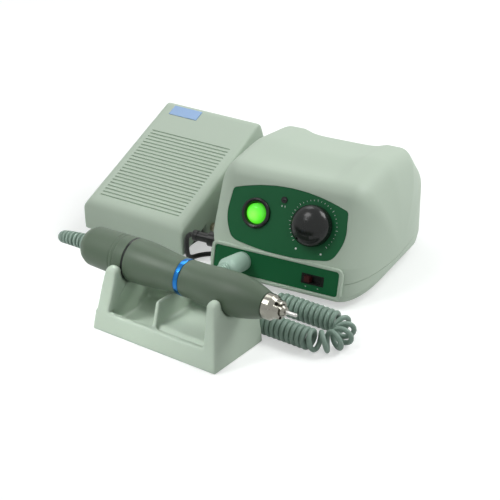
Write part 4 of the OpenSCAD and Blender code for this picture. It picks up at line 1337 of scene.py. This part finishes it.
    def build(self) -> None:
        """Makes the cover and the base and cuts their openings."""
        y, z = PEDAL_PLUG_AT
        jack = Matrix.Translation((-self.half - 1, y, z)) @ turned_to(90, "Y")
        panel_cutters = [
            Workpiece.plate("eye_cutter", self.eye(0.15), -0.95, 6),
            self.bore("switch_cutter", SWITCH_AT, self.switch_bore),
            self.bore("knob_cutter", KNOB_AT, self.knob_bore, 32),
            self.bore("lamp_cutter", LAMP_AT, self.lamp_bore, 24),
        ]
        (left, low), (right, high) = self.inlet_low, self.inlet_high
        rear = self.depth
        section = self.refined(self.cover_line(), 4)
        cover = Workpiece.skin("case_cover_shell", self.rings(section, self.line))
        cover.hollowed(self.wall).cut(
            *[piece.moved(BOX.inverted() @ UPPER) for piece in panel_cutters],
            *self.strip_cutters(),
            Workpiece.rod("jack_cutter", (0, 0, 0), self.jack_bore, self.bore_l, 40).moved(jack),
            Workpiece.block("inlet_cutter", (left, rear - 9, low), (right, rear + 1, high)),
        )
        cover.settle(BOX, Body.SET, Finishes.CASING, ["case_cover"], 28)
        section = self.refined(self.base_line(), 5)
        base = Workpiece.skin("case_base_shell", self.rings(section, -self.line))
        u, v = self.screw_at
        screws = [(x, y, 0) for x in (-u, u) for y in (v, rear - v)]
        base.hollowed(self.wall).cut(
            *self.strip_cutters(),
            *[Workpiece.rod("screw_cutter", foot, self.screw_bore, 12.5, 32) for foot in screws],
        )
        base.settle(BOX, Body.SET, Finishes.CASING, ["case_base"], 28)


@dataclass
class FrontPanels:
    """The lip frame of the lower panel and the marks on both panels."""

    half: float = 47
    height: float = 20.5
    rim: float = 2.2
    thick: float = 2
    cheek: float = 1.2
    sunk: float = 0.8
    strokes: int = 31
    stroke_from: float = 225
    stroke_step: float = 9
    stroke_r: float = 15.9

    def pad(self, inset: float, radius: float) -> list[Point2]:
        """Gives the frame's outline drawn in by an inset."""
        x, low, high = self.half - inset, -0.5 + inset, self.height - inset
        return filleted([(-x, low, radius), (x, low, radius), (x, high, radius), (-x, high, radius)], 8)

    def build(self) -> None:
        """Makes the lip frame and prints the marks."""
        lip = Workpiece.plate("lip_frame", self.pad(0, 3), -self.thick, 0)
        lip.cut(Workpiece.plate("lip_cutter", self.pad(self.rim, 2), -self.thick - 1, 1)).rounded(0.7, 4)
        for x in (-self.half, self.half - self.cheek):
            lip.joined(Workpiece.block("lip_cheek", (x, 2.5, -3.4), (x + self.cheek, 17.5, -0.8)))
        lip.settle(LOWER, Body.SET, Finishes.CASING, ["front_bezel"])
        self.marks().settle(UPPER, Body.SET, Finishes.INK)
        ticks = [self.tick("selector_tick", (u, 4.3), 0, 0.9, 0.35) for u in (22.5, 31.1)]
        ticks[0].joined(*ticks[1:]).moved(Matrix.Translation((0, 0, -self.sunk)))
        ticks[0].settle(LOWER, Body.SET, Finishes.INK)

    def tick(self, name: str, at: Point2, angle: float, length: float, width: float) -> Workpiece:
        """Prints one short stroke.

        Args:
            name: Name of the stroke.
            at: Its middle.
            angle: Its turn in degrees.
            length: Its length.
            width: Its width.

        Returns:
            The stroke as a thin plate.
        """
        x, y, r = length / 2, width / 2, width / 3
        outline = filleted([(-x, -y, r), (x, -y, r), (x, y, r), (-x, y, r)], 3)
        stroke = Workpiece.plate(name, outline, -0.02, 0.03)
        return stroke.moved(Matrix.Translation((*at, 0)) @ turned_to(angle, "Z"))

    def marks(self) -> Workpiece:
        """Prints the dial's scale: end dots below the knob and strokes round it.

        Returns:
            All the strokes and dots as one workpiece.
        """
        strokes: list[Workpiece] = []
        for k in range(self.strokes):
            angle = math.radians(self.stroke_from - self.stroke_step * k)
            length = 0.8 if k % 5 else 1.3
            radius = self.stroke_r + length / 2
            at = (KNOB_AT[0] + radius * math.cos(angle), KNOB_AT[1] + radius * math.sin(angle))
            strokes.append(self.tick("dial_stroke", at, math.degrees(angle), length, 0.28))
        for at in ((11.6, 7.8), (29.3, 7.7)):
            strokes.append(self.tick("dial_dot", at, 0, 1.3, 1.25))
        for u in (-3.6, -1.4):
            strokes.append(self.tick("lamp_stroke", (u, 32.6), 90, 1.2, 0.4))
        first = strokes[0]
        first.obj.name = "dial_marks"
        return first.joined(*strokes[1:])


@dataclass
class Controls:
    """The lit switch and the speed knob on the front."""

    tilt: float = 8
    rocker_z: float = -2
    # Place of the glow's bright centre, a painted highlight, below and left of the switch's middle.
    lamp: Point3 = (-0.8, -1.2, 1.5)
    dome_low: float = 4.6
    dome_h: float = 8.4
    dome_r: float = 13.45
    dome_power: float = 0.92
    dot_at: float = 10.9
    dot_r: float = 0.8
    dot_turn: float = 150

    def switch(self) -> None:
        """Makes the switch's bezel and its lit rocker, whose glow has a painted highlight below its middle.
        """
        profile = filleted(
            [
                (-15, 0, 0), (-15, 9, 0.6), (0, 9, 0), (0, 10.1, 0.2), (1.5, 10.1, 0.9),
                (2.3, 9.1, 0.6), (1.9, 7.75, 0.4), (0.6, 7.4, 0.3), (-6.5, 7.4, 0), (-6.5, 0, 0),
            ],
            5, False,
        )
        place = UPPER @ Matrix.Translation((*SWITCH_AT, 0)) @ UPRIGHT
        bezel = Workpiece.turned("switch_bezel", profile, 96)
        bezel.settle(place, Body.SET, Finishes.GLOSS, ["power_switch"])
        dome = filleted(
            [
                (-1.8, 0, 0), (-1.8, 6.6, 0.5), (2.2, 6.85, 0.8), (4.4, 4.6, 3.0), (5.0, 2.0, 4.0),
                (5.05, 0, 0),
            ],
            7, False,
        )
        hinge = Matrix.Translation((*SWITCH_AT, self.rocker_z))
        tilt = UPPER @ hinge @ turned_to(self.tilt, "X") @ UPRIGHT
        # The glow's bright centre, a painted highlight, is set at this place.
        lamp = UPPER @ (Vector((*SWITCH_AT, 0)) + Vector(self.lamp))
        finish = replace(Finishes.LENS, middle=tuple(lamp * MM))
        Workpiece.turned("rocker_lens", dome, 72).settle(tilt, Body.ROCKER, finish, ["power_rocker"], 40)

    def knob(self) -> None:
        """Makes the domed speed knob with its sunk pointer dot."""
        profile = [(10, 0), (10, 3.0), (4, 3.0), (4, 7), (0.5, 7), (0.5, 13.1), (0.9, 13.5), (4.0, 13.55)]
        for a in range(4, 88, 6):
            rise, reach = math.sin(math.radians(a)), math.cos(math.radians(a))
            profile.append((self.dome_low + self.dome_h * rise, self.dome_r * reach ** self.dome_power))
        profile.append((self.dome_low + self.dome_h, 0))
        knob = Workpiece.turned("dial_knob", profile, 120).moved(UPRIGHT)
        dot = Workpiece.rod("dot_cutter", (0, self.dot_at, 6), self.dot_r, 8, 24)
        dot.moved(turned_to(self.dot_turn, "Z"))
        place = UPPER @ Matrix.Translation((*KNOB_AT, 0))
        knob.cut(dot).settle(place, Body.KNOB, Finishes.GLOSS, ["speed_knob"], 40)

    def build(self) -> None:
        """Makes the controls in order."""
        self.switch()
        self.knob()


# Pedal


@dataclass
class FootPedal:
    """The treadle cover of the pedal, a sloping hood with a grooved tread, and the spring below it."""

    half: float = 42.5
    taper: float = 2.2
    flare: float = 4.2
    flare_h: float = 3.6
    slope: float = 0.42
    level: float = 29.8
    near: float = -9
    far: float = 93
    skirt: float = 18
    wall: float = 2.5
    voxel: float = 1.0
    softness: int = 24
    pivot: Point2 = (28, 12.5)
    ear: float = 7
    pin: float = 2.05
    grooves: int = 23
    groove_half: float = 33.6
    groove_pitch: float = 3.1
    spring_y: float = 70
    spring_r: float = 7.5
    spring_turns: int = 8
    spring_low: float = 6.3
    wire: float = 0.7

    def tread(self, y: float) -> float:
        """Gives the height of the tread at a place along the pedal."""
        return self.level + self.slope * y

    def side_half(self, y: float) -> float:
        """Gives the half width of the skirt at a place along the pedal."""
        return self.half - self.taper * (y - self.near) / (self.far - self.near)

    def across(self, x: float) -> Matrix:
        """Gives the place of a side view that is extruded across the pedal from x."""
        return Matrix(((0, 0, 1, x), (1, 0, 0, 0), (0, 1, 0, 0), (0, 0, 0, 1)))

    def hood(self) -> Workpiece:
        """Extrudes the side view, slices the sloping sides, softens the edges and hollows the hood.

        Returns:
            The hood.
        """
        angle = math.atan(self.slope)
        up = Vector((0, -math.sin(angle), math.cos(angle)))
        top = Vector((0, self.far, self.tread(self.far)))
        low, front = top - up * self.skirt, Vector((0, self.near, 5))
        deep, edge = low - up * 14, self.near - 0.6
        turns = [
            (self.near + 1, -7, 0), (deep.y, deep.z, 0), (top.y, top.z, 5), (edge, self.tread(edge), 9),
        ]
        side = filleted(turns, 10)
        hood = Workpiece.plate("pedal_hood", side, -60, 60).moved(self.across(0))
        lean = self.taper / (self.far - self.near)
        for s in (-1, 1):
            hood.slice((s * self.half, self.near, 0), (s, lean, 0))
            shoulder = Vector((s * (self.half - self.flare), 0, self.level))
            hood.slice(shoulder, Vector((s * self.flare_h, 0, 0)) + up * self.flare)
        hood.merge(0.02).remade(self.voxel, self.softness)
        under = (low - front).normalized()
        down = Vector((0, under.z, -under.y))
        hood.slice(front, down)
        return hood.open_where(lambda normal: normal.dot(down) > 0.999).hollowed(self.wall)

    def spring(self) -> None:
        """Winds the return spring, which the treadle presses down towards the base."""
        steps = 24 * self.spring_turns
        inside = self.tread(self.spring_y - self.spring_r) - self.wall * math.hypot(1, self.slope)
        rise = inside - self.wire - 0.3 - self.spring_low
        route: list[Vector] = []
        for i in range(steps + 1):
            a = 2 * math.pi * self.spring_turns * i / steps
            middle = Vector((0, self.spring_y, self.spring_low + rise * i / steps))
            route.append(middle + self.spring_r * Vector((math.cos(a), math.sin(a), 0)))
        spring = Workpiece.tube("return_spring", route, [self.wire] * len(route))
        obj = spring.settle(PEDAL, Body.SET, Finishes.STEEL, ["pedal_spring"], 60)
        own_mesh(obj)

    def ear_plate(self, x: float) -> Workpiece:
        """Makes one ear of the hood, bored for the pin.

        Args:
            x: Place of its left face.

        Returns:
            The ear.
        """
        (y, z), e = self.pivot, self.ear
        turns = [(y - e, z + 16, 0), (y - e, z - e, e - 0.5), (y + e, z - e, e - 0.5), (y + e, z + 16, 0)]
        ear = Workpiece.plate("pedal_ear", filleted(turns, 10), 0, self.wall).moved(self.across(x))
        pin = Workpiece.rod("pin_cutter", (0, 0, -2), self.pin, 100, 32)
        return ear.cut(pin.moved(Matrix.Translation((-50, y, z)) @ turned_to(90, "Y")))

    def build(self) -> None:
        """Makes the spring, and the hood with its ears and grooves."""
        self.spring()
        hood = self.hood()
        tilt = turned_to(math.degrees(math.atan(self.slope)), "X")
        on_tread = Matrix.Translation((0, 0, self.level)) @ tilt
        w = self.groove_half
        grooves = Workpiece.block("groove_cutter", (-w, -0.55, -0.9), (w, 0.55, 2)).rounded(0.25, 2)
        grooves.modify(
            "ARRAY", count=self.grooves, use_relative_offset=False, use_constant_offset=True,
            constant_offset_displace=(0, self.groove_pitch, 0),
        )
        plate = Workpiece.block("plate_cutter", (-31.15, 86.85, -0.4), (-6.85, 96.15, 2))
        hood.cut(grooves.moved(on_tread), plate.moved(on_tread))
        half = self.side_half(self.pivot[0])
        for x in (-half, half - self.wall):
            hood.joined(self.ear_plate(x))
        hood.settle(PEDAL, Body.TREADLE, Finishes.CASING, ["pedal_cover"], 30)


# Cradle


@dataclass
class Cradle:
    """The moulded cradle with its two saddles, trough and tray."""

    voxel: float = 0.62
    softness: int = 42

    def build(self) -> None:
        """Remakes the cradle with soft moulded edges."""
        cradle = Workpiece.copy_of("cradle_body", "cradle", CRADLE).remade(self.voxel, self.softness)
        cradle.settle(CRADLE, Body.SET, Finishes.CASING, ["cradle"], 60)


# Handpiece


@dataclass
class Handpiece:
    """The turned body of the handpiece, from its boot to the mandrel."""

    tail: float = -21
    ring: float = 15.2
    accent: float = 54.5
    sleeve: float = 116
    nose: float = 127
    tip: float = 137.2
    motor_r: float = 14
    motor_bore: float = 10.45
    grip_bore: float = 6.95
    sleeve_r: float = 13.2
    sleeve_bore: float = 7
    nose_bore: float = 4.1
    shank_r: float = 1.17
    sides: int = 120
    boot_ribs: int = 12
    boot_r: float = 5.5
    boot_taper: float = 2
    rib_depth: float = 0.4

    def shell(
        self,
        name: str,
        outside: Sequence[Point2],
        bore: Sequence[Point2],
        body: Body,
        finish: Finish,
        node: str,
    ) -> None:
        """Turns a bored piece.

        Args:
            name: Name of the piece.
            outside: Its outer profile, from rear to front.
            bore: Its inner profile, from front to rear.
            body: Body that it rides on.
            finish: Its finish.
            node: Node that it replaces.
        """
        profile = list(outside) + list(bore) + [outside[0]]
        Workpiece.turned(name, profile, self.sides).settle(HANDPIECE, body, finish, [node], 25)

    def tail_half(self) -> None:
        """Turns the tail cap with its twin grooves, and the black ring."""
        x, g, r, b = self.ring, self.ring - 11, self.motor_r, self.motor_bore
        outside = filleted(
            [
                (self.tail, 0, 0), (self.tail, r - 4, 3), (self.tail + 5, r - 1.2, 8),
                (g, r - 0.7, 0.15), (g + 0.4, r - 1, 0.1), (g + 1.2, r - 1, 0.1),
                (g + 1.6, r - 0.55, 0.15), (g + 3, r - 0.5, 0.15), (g + 3.4, r - 0.8, 0.1),
                (g + 4.2, r - 0.8, 0.1), (g + 4.6, r - 0.35, 0.15), (x - 0.02, r - 0.1, 0.3),
                (x - 0.02, b, 0),
            ],
            6, False,
        )
        bore = [(-11, b), (-11, 6.5), (-15, 6.5), (-15, 3.5), (-18, 3.5), (-18, 0)]
        cap = Workpiece.turned("tail_cap_body", outside + bore, self.sides)
        cap.settle(HANDPIECE, Body.HANDPIECE, Finishes.GRIP, ["tail_cap"], 25)
        ring = filleted(
            [
                (x, b, 0), (x, 13.7, 0.1), (x + 0.3, 13.9, 0.1), (x + 1.3, 13.9, 0.1),
                (x + 1.6, 13.7, 0.1), (x + 1.6, b, 0),
            ],
            3, False,
        )
        self.shell("black_ring", ring, [], Body.HANDPIECE, Finishes.GLOSS, "tail_ring")

    def grip_half(self) -> None:
        """Turns the grip sleeve and the blue accent ring."""
        x, a, b = self.ring + 1.6, self.accent, self.grip_bore
        swell = routed([(x + 0.5, 14), (x + 8, 13.9), (x + 18, 13.1), (x + 27, 12.05), (a - 0.4, 11.6)], 6)
        outside = [(x + 0.02, self.motor_bore), (x + 0.02, 13.6), (x + 0.15, 13.86)]
        outside += [tuple(p) for p in swell]
        outside += [(a - 0.1, 11.45), (a - 0.02, 11.2)]
        bore = [(a - 0.02, b), (36, b), (36, self.motor_bore)]
        self.shell("grip_barrel", outside, bore, Body.HANDPIECE, Finishes.GRIP, "grip_sleeve")
        band = filleted(
            [
                (a, b, 0), (a, 11.5, 0.2), (a + 0.4, 11.8, 0.2), (a + 2.9, 11.8, 0.2),
                (a + 3.3, 11.5, 0.2), (a + 3.3, b, 0),
            ],
            4, False,
        )
        self.shell("accent_band", band, [], Body.HANDPIECE, Finishes.ACCENT, "accent_ring")

    def chuck(self) -> None:
        """Turns the swelling chuck sleeve."""
        x, end, r = self.accent + 3.6, self.sleeve, self.sleeve_r
        s = (end - x) / 6
        swell = routed(
            [
                (x + 0.4, 11.6), (x + s, 11.8), (x + 2 * s, r - 0.6), (x + 3 * s, r - 0.1),
                (x + 3.6 * s, r), (x + 4.2 * s, r - 0.4), (x + 4.8 * s, r - 1.5), (x + 5.4 * s, r - 3),
                (end - 0.4, 8.4),
            ],
            6,
        )
        bore = self.sleeve_bore
        outside = [(x, bore), (x, 11.2), (x + 0.1, 11.5)]
        outside += [tuple(p) for p in swell]
        outside += [(end - 0.05, 8.25), (end, 8.0)]
        self.shell("chuck_barrel", outside, [(end, bore)], Body.CHUCK, Finishes.GRIP, "chuck_sleeve")

    def nose_piece(self) -> None:
        """Turns the chrome nose and slots it."""
        a, n, b = self.sleeve + 0.3, self.nose, self.nose_bore
        cone = filleted(
            [
                (a, b, 0), (a, 7.9, 0.2), (a + 0.4, 8.1, 0.2), (a + 4.6, 7.9, 0.5), (a + 5.4, 7.1, 0.3),
                (n - 4.2, 6.5, 0.4), (n - 3.6, 6.0, 0.3), (n - 0.6, 5.7, 0.3), (n, 5.2, 0.2), (n, b, 0),
            ],
            5, False,
        )
        nose = Workpiece.turned("chrome_nose", cone + [cone[0]], 96)
        for angle in (30, 150, 270):
            slot = Workpiece.block("nose_cutter", (n - 3.4, -1.3, 0), (n + 1, 1.3, 12)).rounded(0.3, 2)
            nose.cut(slot.moved(turned_to(angle, "X")))
        nose.settle(HANDPIECE, Body.HANDPIECE, Finishes.CHROME, ["nose_cone"], 30)

    def collet(self) -> None:
        """Turns the collet with its three saw cuts, and the mandrel that it holds."""
        rear, n, tip = self.sleeve - 2, self.nose, self.tip
        jaw = filleted(
            [
                (rear, 1.2, 0), (rear, 3, 0), (self.sleeve + 4, 3.7, 0.5), (n + 1, 3.7, 0.4),
                (n + 2.5, 2.7, 0.4), (n + 2.5, 1.2, 0),
            ],
            4, False,
        )
        collet = Workpiece.turned("collet_jaws", jaw + [jaw[0]], 72)
        for angle in (0, 120, 240):
            saw = Workpiece.block("jaw_cutter", (n - 9, -0.25, 0), (n + 5, 0.25, 6))
            collet.cut(saw.moved(turned_to(angle, "X")))
        collet.settle(HANDPIECE, Body.ROTOR, Finishes.CHROME, ["collet"], 30)
        r = self.shank_r
        shank = [(rear, 0, 0), (rear, r, 0.1), (tip - 0.6, r, 0.3), (tip, 0.7, 0.2), (tip, 0, 0)]
        mandrel = Workpiece.turned("mandrel_shank", filleted(shank, 4, False), 48)
        mandrel.settle(HANDPIECE, Body.ROTOR, Finishes.STEEL, ["mandrel"], 40)

    def boot(self) -> None:
        """Makes the ribbed boot that bends down from the tail."""
        bend = [
            (-41.6, 0, 0), (-48, 0, 0), (-55.4, 0, -0.5), (-62.5, 0.9, -1.7), (-67.4, 3.8, -4.2),
            (-69.6, 8.8, -7.6),
        ]
        route = routed(bend, 40)
        last = len(route) - 1
        radii: list[float] = []
        for i in range(last + 1):
            valley = eased(1.6 * math.cos(2 * math.pi * self.boot_ribs * i / last))
            radii.append((self.boot_r - self.boot_taper * i / last) * (1 - self.rib_depth * valley))
        boot = Workpiece.tube("tail_boot_ribs", route, radii)
        boot.settle(BOOT, Body.HANDPIECE, Finishes.BOOT, ["tail_boot"], 60)

    def build(self) -> None:
        """Makes the handpiece from tail to tip."""
        self.tail_half()
        self.grip_half()
        self.chuck()
        self.nose_piece()
        self.collet()
        self.boot()


@dataclass
class Plugs:
    """The handpiece cord's plug and the pedal cable's plug."""

    ribs: int = 5
    rib_x: float = 22
    rib_pitch: float = 2.2
    pedal_end: float = -67
    pedal_face: float = -54.5
    pin_r: float = 1.75

    def handpiece_plug(self) -> Object:
        """Turns the grey-green plug with its ribbed sleeve.

        Returns:
            The plug.
        """
        profile = [
            (-8, 0, 0), (-8, 4.0, 0.3), (0.6, 4.0, 0), (0.6, 6.1, 0.2), (1.6, 6.5, 0.4),
            (20.6, 6.5, 1.2), (self.rib_x, 5.4, 0.6),
        ]
        for i in range(self.ribs):
            high, low = 4.6 - 0.35 * i, 3.6 - 0.3 * i
            x = self.rib_x + self.rib_pitch * i
            end = x + self.rib_pitch
            profile += [(x + 1, high, 0.3), (end, high, 0.3), (end, low, 0.15), (end + 1, low, 0.15)]
        profile.append((34, 0, 0))
        plug = Workpiece.turned("cord_plug_body", filleted(profile, 4, False), 72)
        place = LOWER @ Matrix.Translation((*PLUG_AT, 0)) @ UPRIGHT
        return plug.settle(place, Body.SET, Finishes.PLUG, ["cord_plug"], 30)

    def pedal_plug(self) -> Object:
        """Turns the slim black plug on the box's left side.

        Returns:
            The plug.
        """
        end, face, pin = self.pedal_end, self.pedal_face, self.pin_r
        profile = [
            (end, 0, 0), (end, 3.7, 1.0), (end + 3.8, 3.7, 0.4), (end + 4.3, 3.2, 0.3),
            (face - 1, 3.3, 0.2), (face, 3.3, 0.2), (face, pin, 0), (face + 12, pin, 0.3),
            (face + 13, 0, 0),
        ]
        plug = Workpiece.turned("pedal_plug_body", filleted(profile, 4, False), 48)
        place = BOX @ Matrix.Translation((0, *PEDAL_PLUG_AT))
        return plug.settle(place, Body.SET, Finishes.BLACK, ["pedal_plug"], 30)


# Studio


@dataclass(frozen=True)
class Lamp:
    """One soft square lamp, in metres, watts and degrees."""

    name: str
    at: Point3
    size: float
    power: float
    aim: Point3 = (0, 0, 0.03)
    spread: float = 180

    def hang(self) -> None:
        """Hangs the lamp and turns it to what it lights."""
        data = bpy.data.lights.new(self.name, "AREA")
        data.shape = "SQUARE"
        data.size = self.size
        data.energy = self.power
        data.spread = math.radians(self.spread)
        lamp = bpy.data.objects.new(self.name, data)
        bpy.context.scene.collection.objects.link(lamp)
        lamp.location = self.at
        lamp.rotation_euler = (Vector(self.aim) - Vector(self.at)).to_track_quat("-Z", "Y").to_euler()


@dataclass
class Studio:
    """The camera, the pale floor and the soft light."""

    azimuth: float = 35.75
    elevation: float = 27.05
    distance: float = 949.15
    target: Point3 = (31.01, -20.35, 30)
    focal: float = 105.485
    sensor: float = 36
    floor_size: float = 9
    floor_z: float = -0.0002
    floor_colour: Point3 = (0.62, 0.64, 0.63)
    floor_lift: float = 0.48
    sky: float = 0.31
    lamps: tuple[Lamp, ...] = (
        Lamp("top_lamp", (0.75, 0.75, 1.25), 0.8, 14),
        Lamp("left_top_lamp", (-0.70, 0.50, 1.30), 0.6, 3),
        Lamp("front_lamp", (-0.45, -0.75, 1.25), 0.5, 4.6),
        Lamp("cradle_lamp", (-0.12, -0.40, 0.34), 0.1, 0.042, aim=(0.0, -0.13, 0.0), spread=30),
    )

    def camera(self) -> None:
        """Sets the camera at the photograph's viewing angle."""
        a, e = math.radians(self.azimuth), math.radians(self.elevation)
        back = Vector((math.sin(a) * math.cos(e), -math.cos(a) * math.cos(e), math.sin(e)))
        data = bpy.data.cameras.new("studio_camera")
        data.lens = self.focal
        data.sensor_width = self.sensor
        data.clip_start = 0.05
        data.clip_end = 20
        camera = bpy.data.objects.new("studio_camera", data)
        bpy.context.scene.collection.objects.link(camera)
        right = Vector((math.cos(a), math.sin(a), 0))
        turn = Matrix((right, back.cross(right), back)).transposed().to_4x4()
        camera.matrix_world = Matrix.Translation((Vector(self.target) + back * self.distance) * MM) @ turn
        bpy.context.scene.camera = camera

    def seen(self, tree: Tree) -> Socket:
        """Adds a mask of the rays that show the background itself.

        Args:
            tree: The tree to add to.

        Returns:
            The socket with the mask.
        """
        path = tree.nodes.new("ShaderNodeLightPath")
        rays = Nodes.maths(tree, "MAXIMUM", path.outputs["Is Camera Ray"], path.outputs["Is Glossy Ray"])
        return Nodes.maths(tree, "MAXIMUM", rays, path.outputs["Is Transmission Ray"])

    def floor(self) -> None:
        """Lays the pale floor, which keeps the shadows."""
        Workpiece.clear()
        bpy.ops.mesh.primitive_plane_add(size=self.floor_size, location=(0, 0, self.floor_z))
        plane = bpy.context.object
        plane.name = "studio_floor"
        material = bpy.data.materials.new("pale_floor")
        material.use_nodes = True
        tree = material.node_tree
        shader = tree.nodes["Principled BSDF"]
        shader.inputs["Base Color"].default_value = (*self.floor_colour, 1)
        shader.inputs["Roughness"].default_value = 0.9
        shader.inputs["Specular IOR Level"].default_value = 0.1
        shader.inputs["Emission Color"].default_value = (1, 1, 1, 1)
        lift = Nodes.maths(tree, "MULTIPLY", self.seen(tree), self.floor_lift)
        tree.links.new(lift, shader.inputs["Emission Strength"])
        plane.data.materials.append(material)

    def light(self) -> None:
        """Sets the even sky light and the lamps."""
        world = bpy.data.worlds.new("studio_world")
        bpy.context.scene.world = world
        world.use_nodes = True
        tree = world.node_tree
        sky = tree.nodes["Background"]
        sky.inputs["Color"].default_value = (1, 1, 1, 1)
        level = Nodes.maths(tree, "MULTIPLY_ADD", self.seen(tree), 1 - self.sky, self.sky)
        tree.links.new(level, sky.inputs["Strength"])
        for lamp in self.lamps:
            lamp.hang()
        bpy.context.scene.view_settings.view_transform = "Standard"

    def build(self) -> None:
        """Sets up the floor and the light."""
        self.floor()
        self.light()


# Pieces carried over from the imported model

CARRIED: dict[Finish, tuple[str, ...]] = {
    Finishes.RUBBER: ("case_feet", "pedal_feet", "cradle_feet", "cable_tie"),
    Finishes.STEEL: (
        "case_screws", "potentiometer", "knob_shaft", "sensor_magnet", "front_housing", "spindle",
        "rear_bearing", "front_bearings",
    ),
    Finishes.FILM: ("control_panel", "jack_panel"),
    Finishes.GLOSS: ("pilot_lamp",),
    Finishes.BLACK: ("selector_switch", "pedal_jack", "mains_inlet", "pedal_gland"),
    Finishes.SLIDER: ("selector_slider",),
    Finishes.PLUG: ("handpiece_jack",),
    Finishes.IRON: ("transformer_core", "motor_magnet"),
    Finishes.COPPER: ("transformer_coil", "motor_rotor"),
    Finishes.BOARD: ("circuit_board", "pedal_sensor"),
    Finishes.TRAY: ("pedal_base",),
    Finishes.BRASS: ("pedal_pin",),
    Finishes.PLATE: ("pedal_plate",),
    Finishes.CARBON: ("motor_brushes",),
}


def dress_carried() -> None:
    """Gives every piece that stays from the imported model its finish."""
    for finish, names in CARRIED.items():
        for name in names:
            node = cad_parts[name]
            node.data.materials.clear()
            node.data.materials.append(finish.material())
            LOG.info("%s is dressed with %s", name, finish.name)


def corners(box: Sequence[Sequence[float]]) -> list[list[float]]:
    """Gives a box's two corners as plain lists of numbers."""
    return [[float(x) for x in corner] for corner in box]


def main() -> None:
    """Builds the set's pieces in order."""
    logging.basicConfig(level=logging.INFO, format="%(message)s")
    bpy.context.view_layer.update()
    studio = Studio()
    studio.camera()
    plugs = Plugs()
    HandpieceCord().build(plugs.handpiece_plug())
    PedalCable().build(plugs.pedal_plug())
    ControlCase().build()
    FrontPanels().build()
    Controls().build()
    FootPedal().build()
    Cradle().build()
    Handpiece().build()
    dress_carried()
    studio.build()


if __name__ == "__main__":
    main()
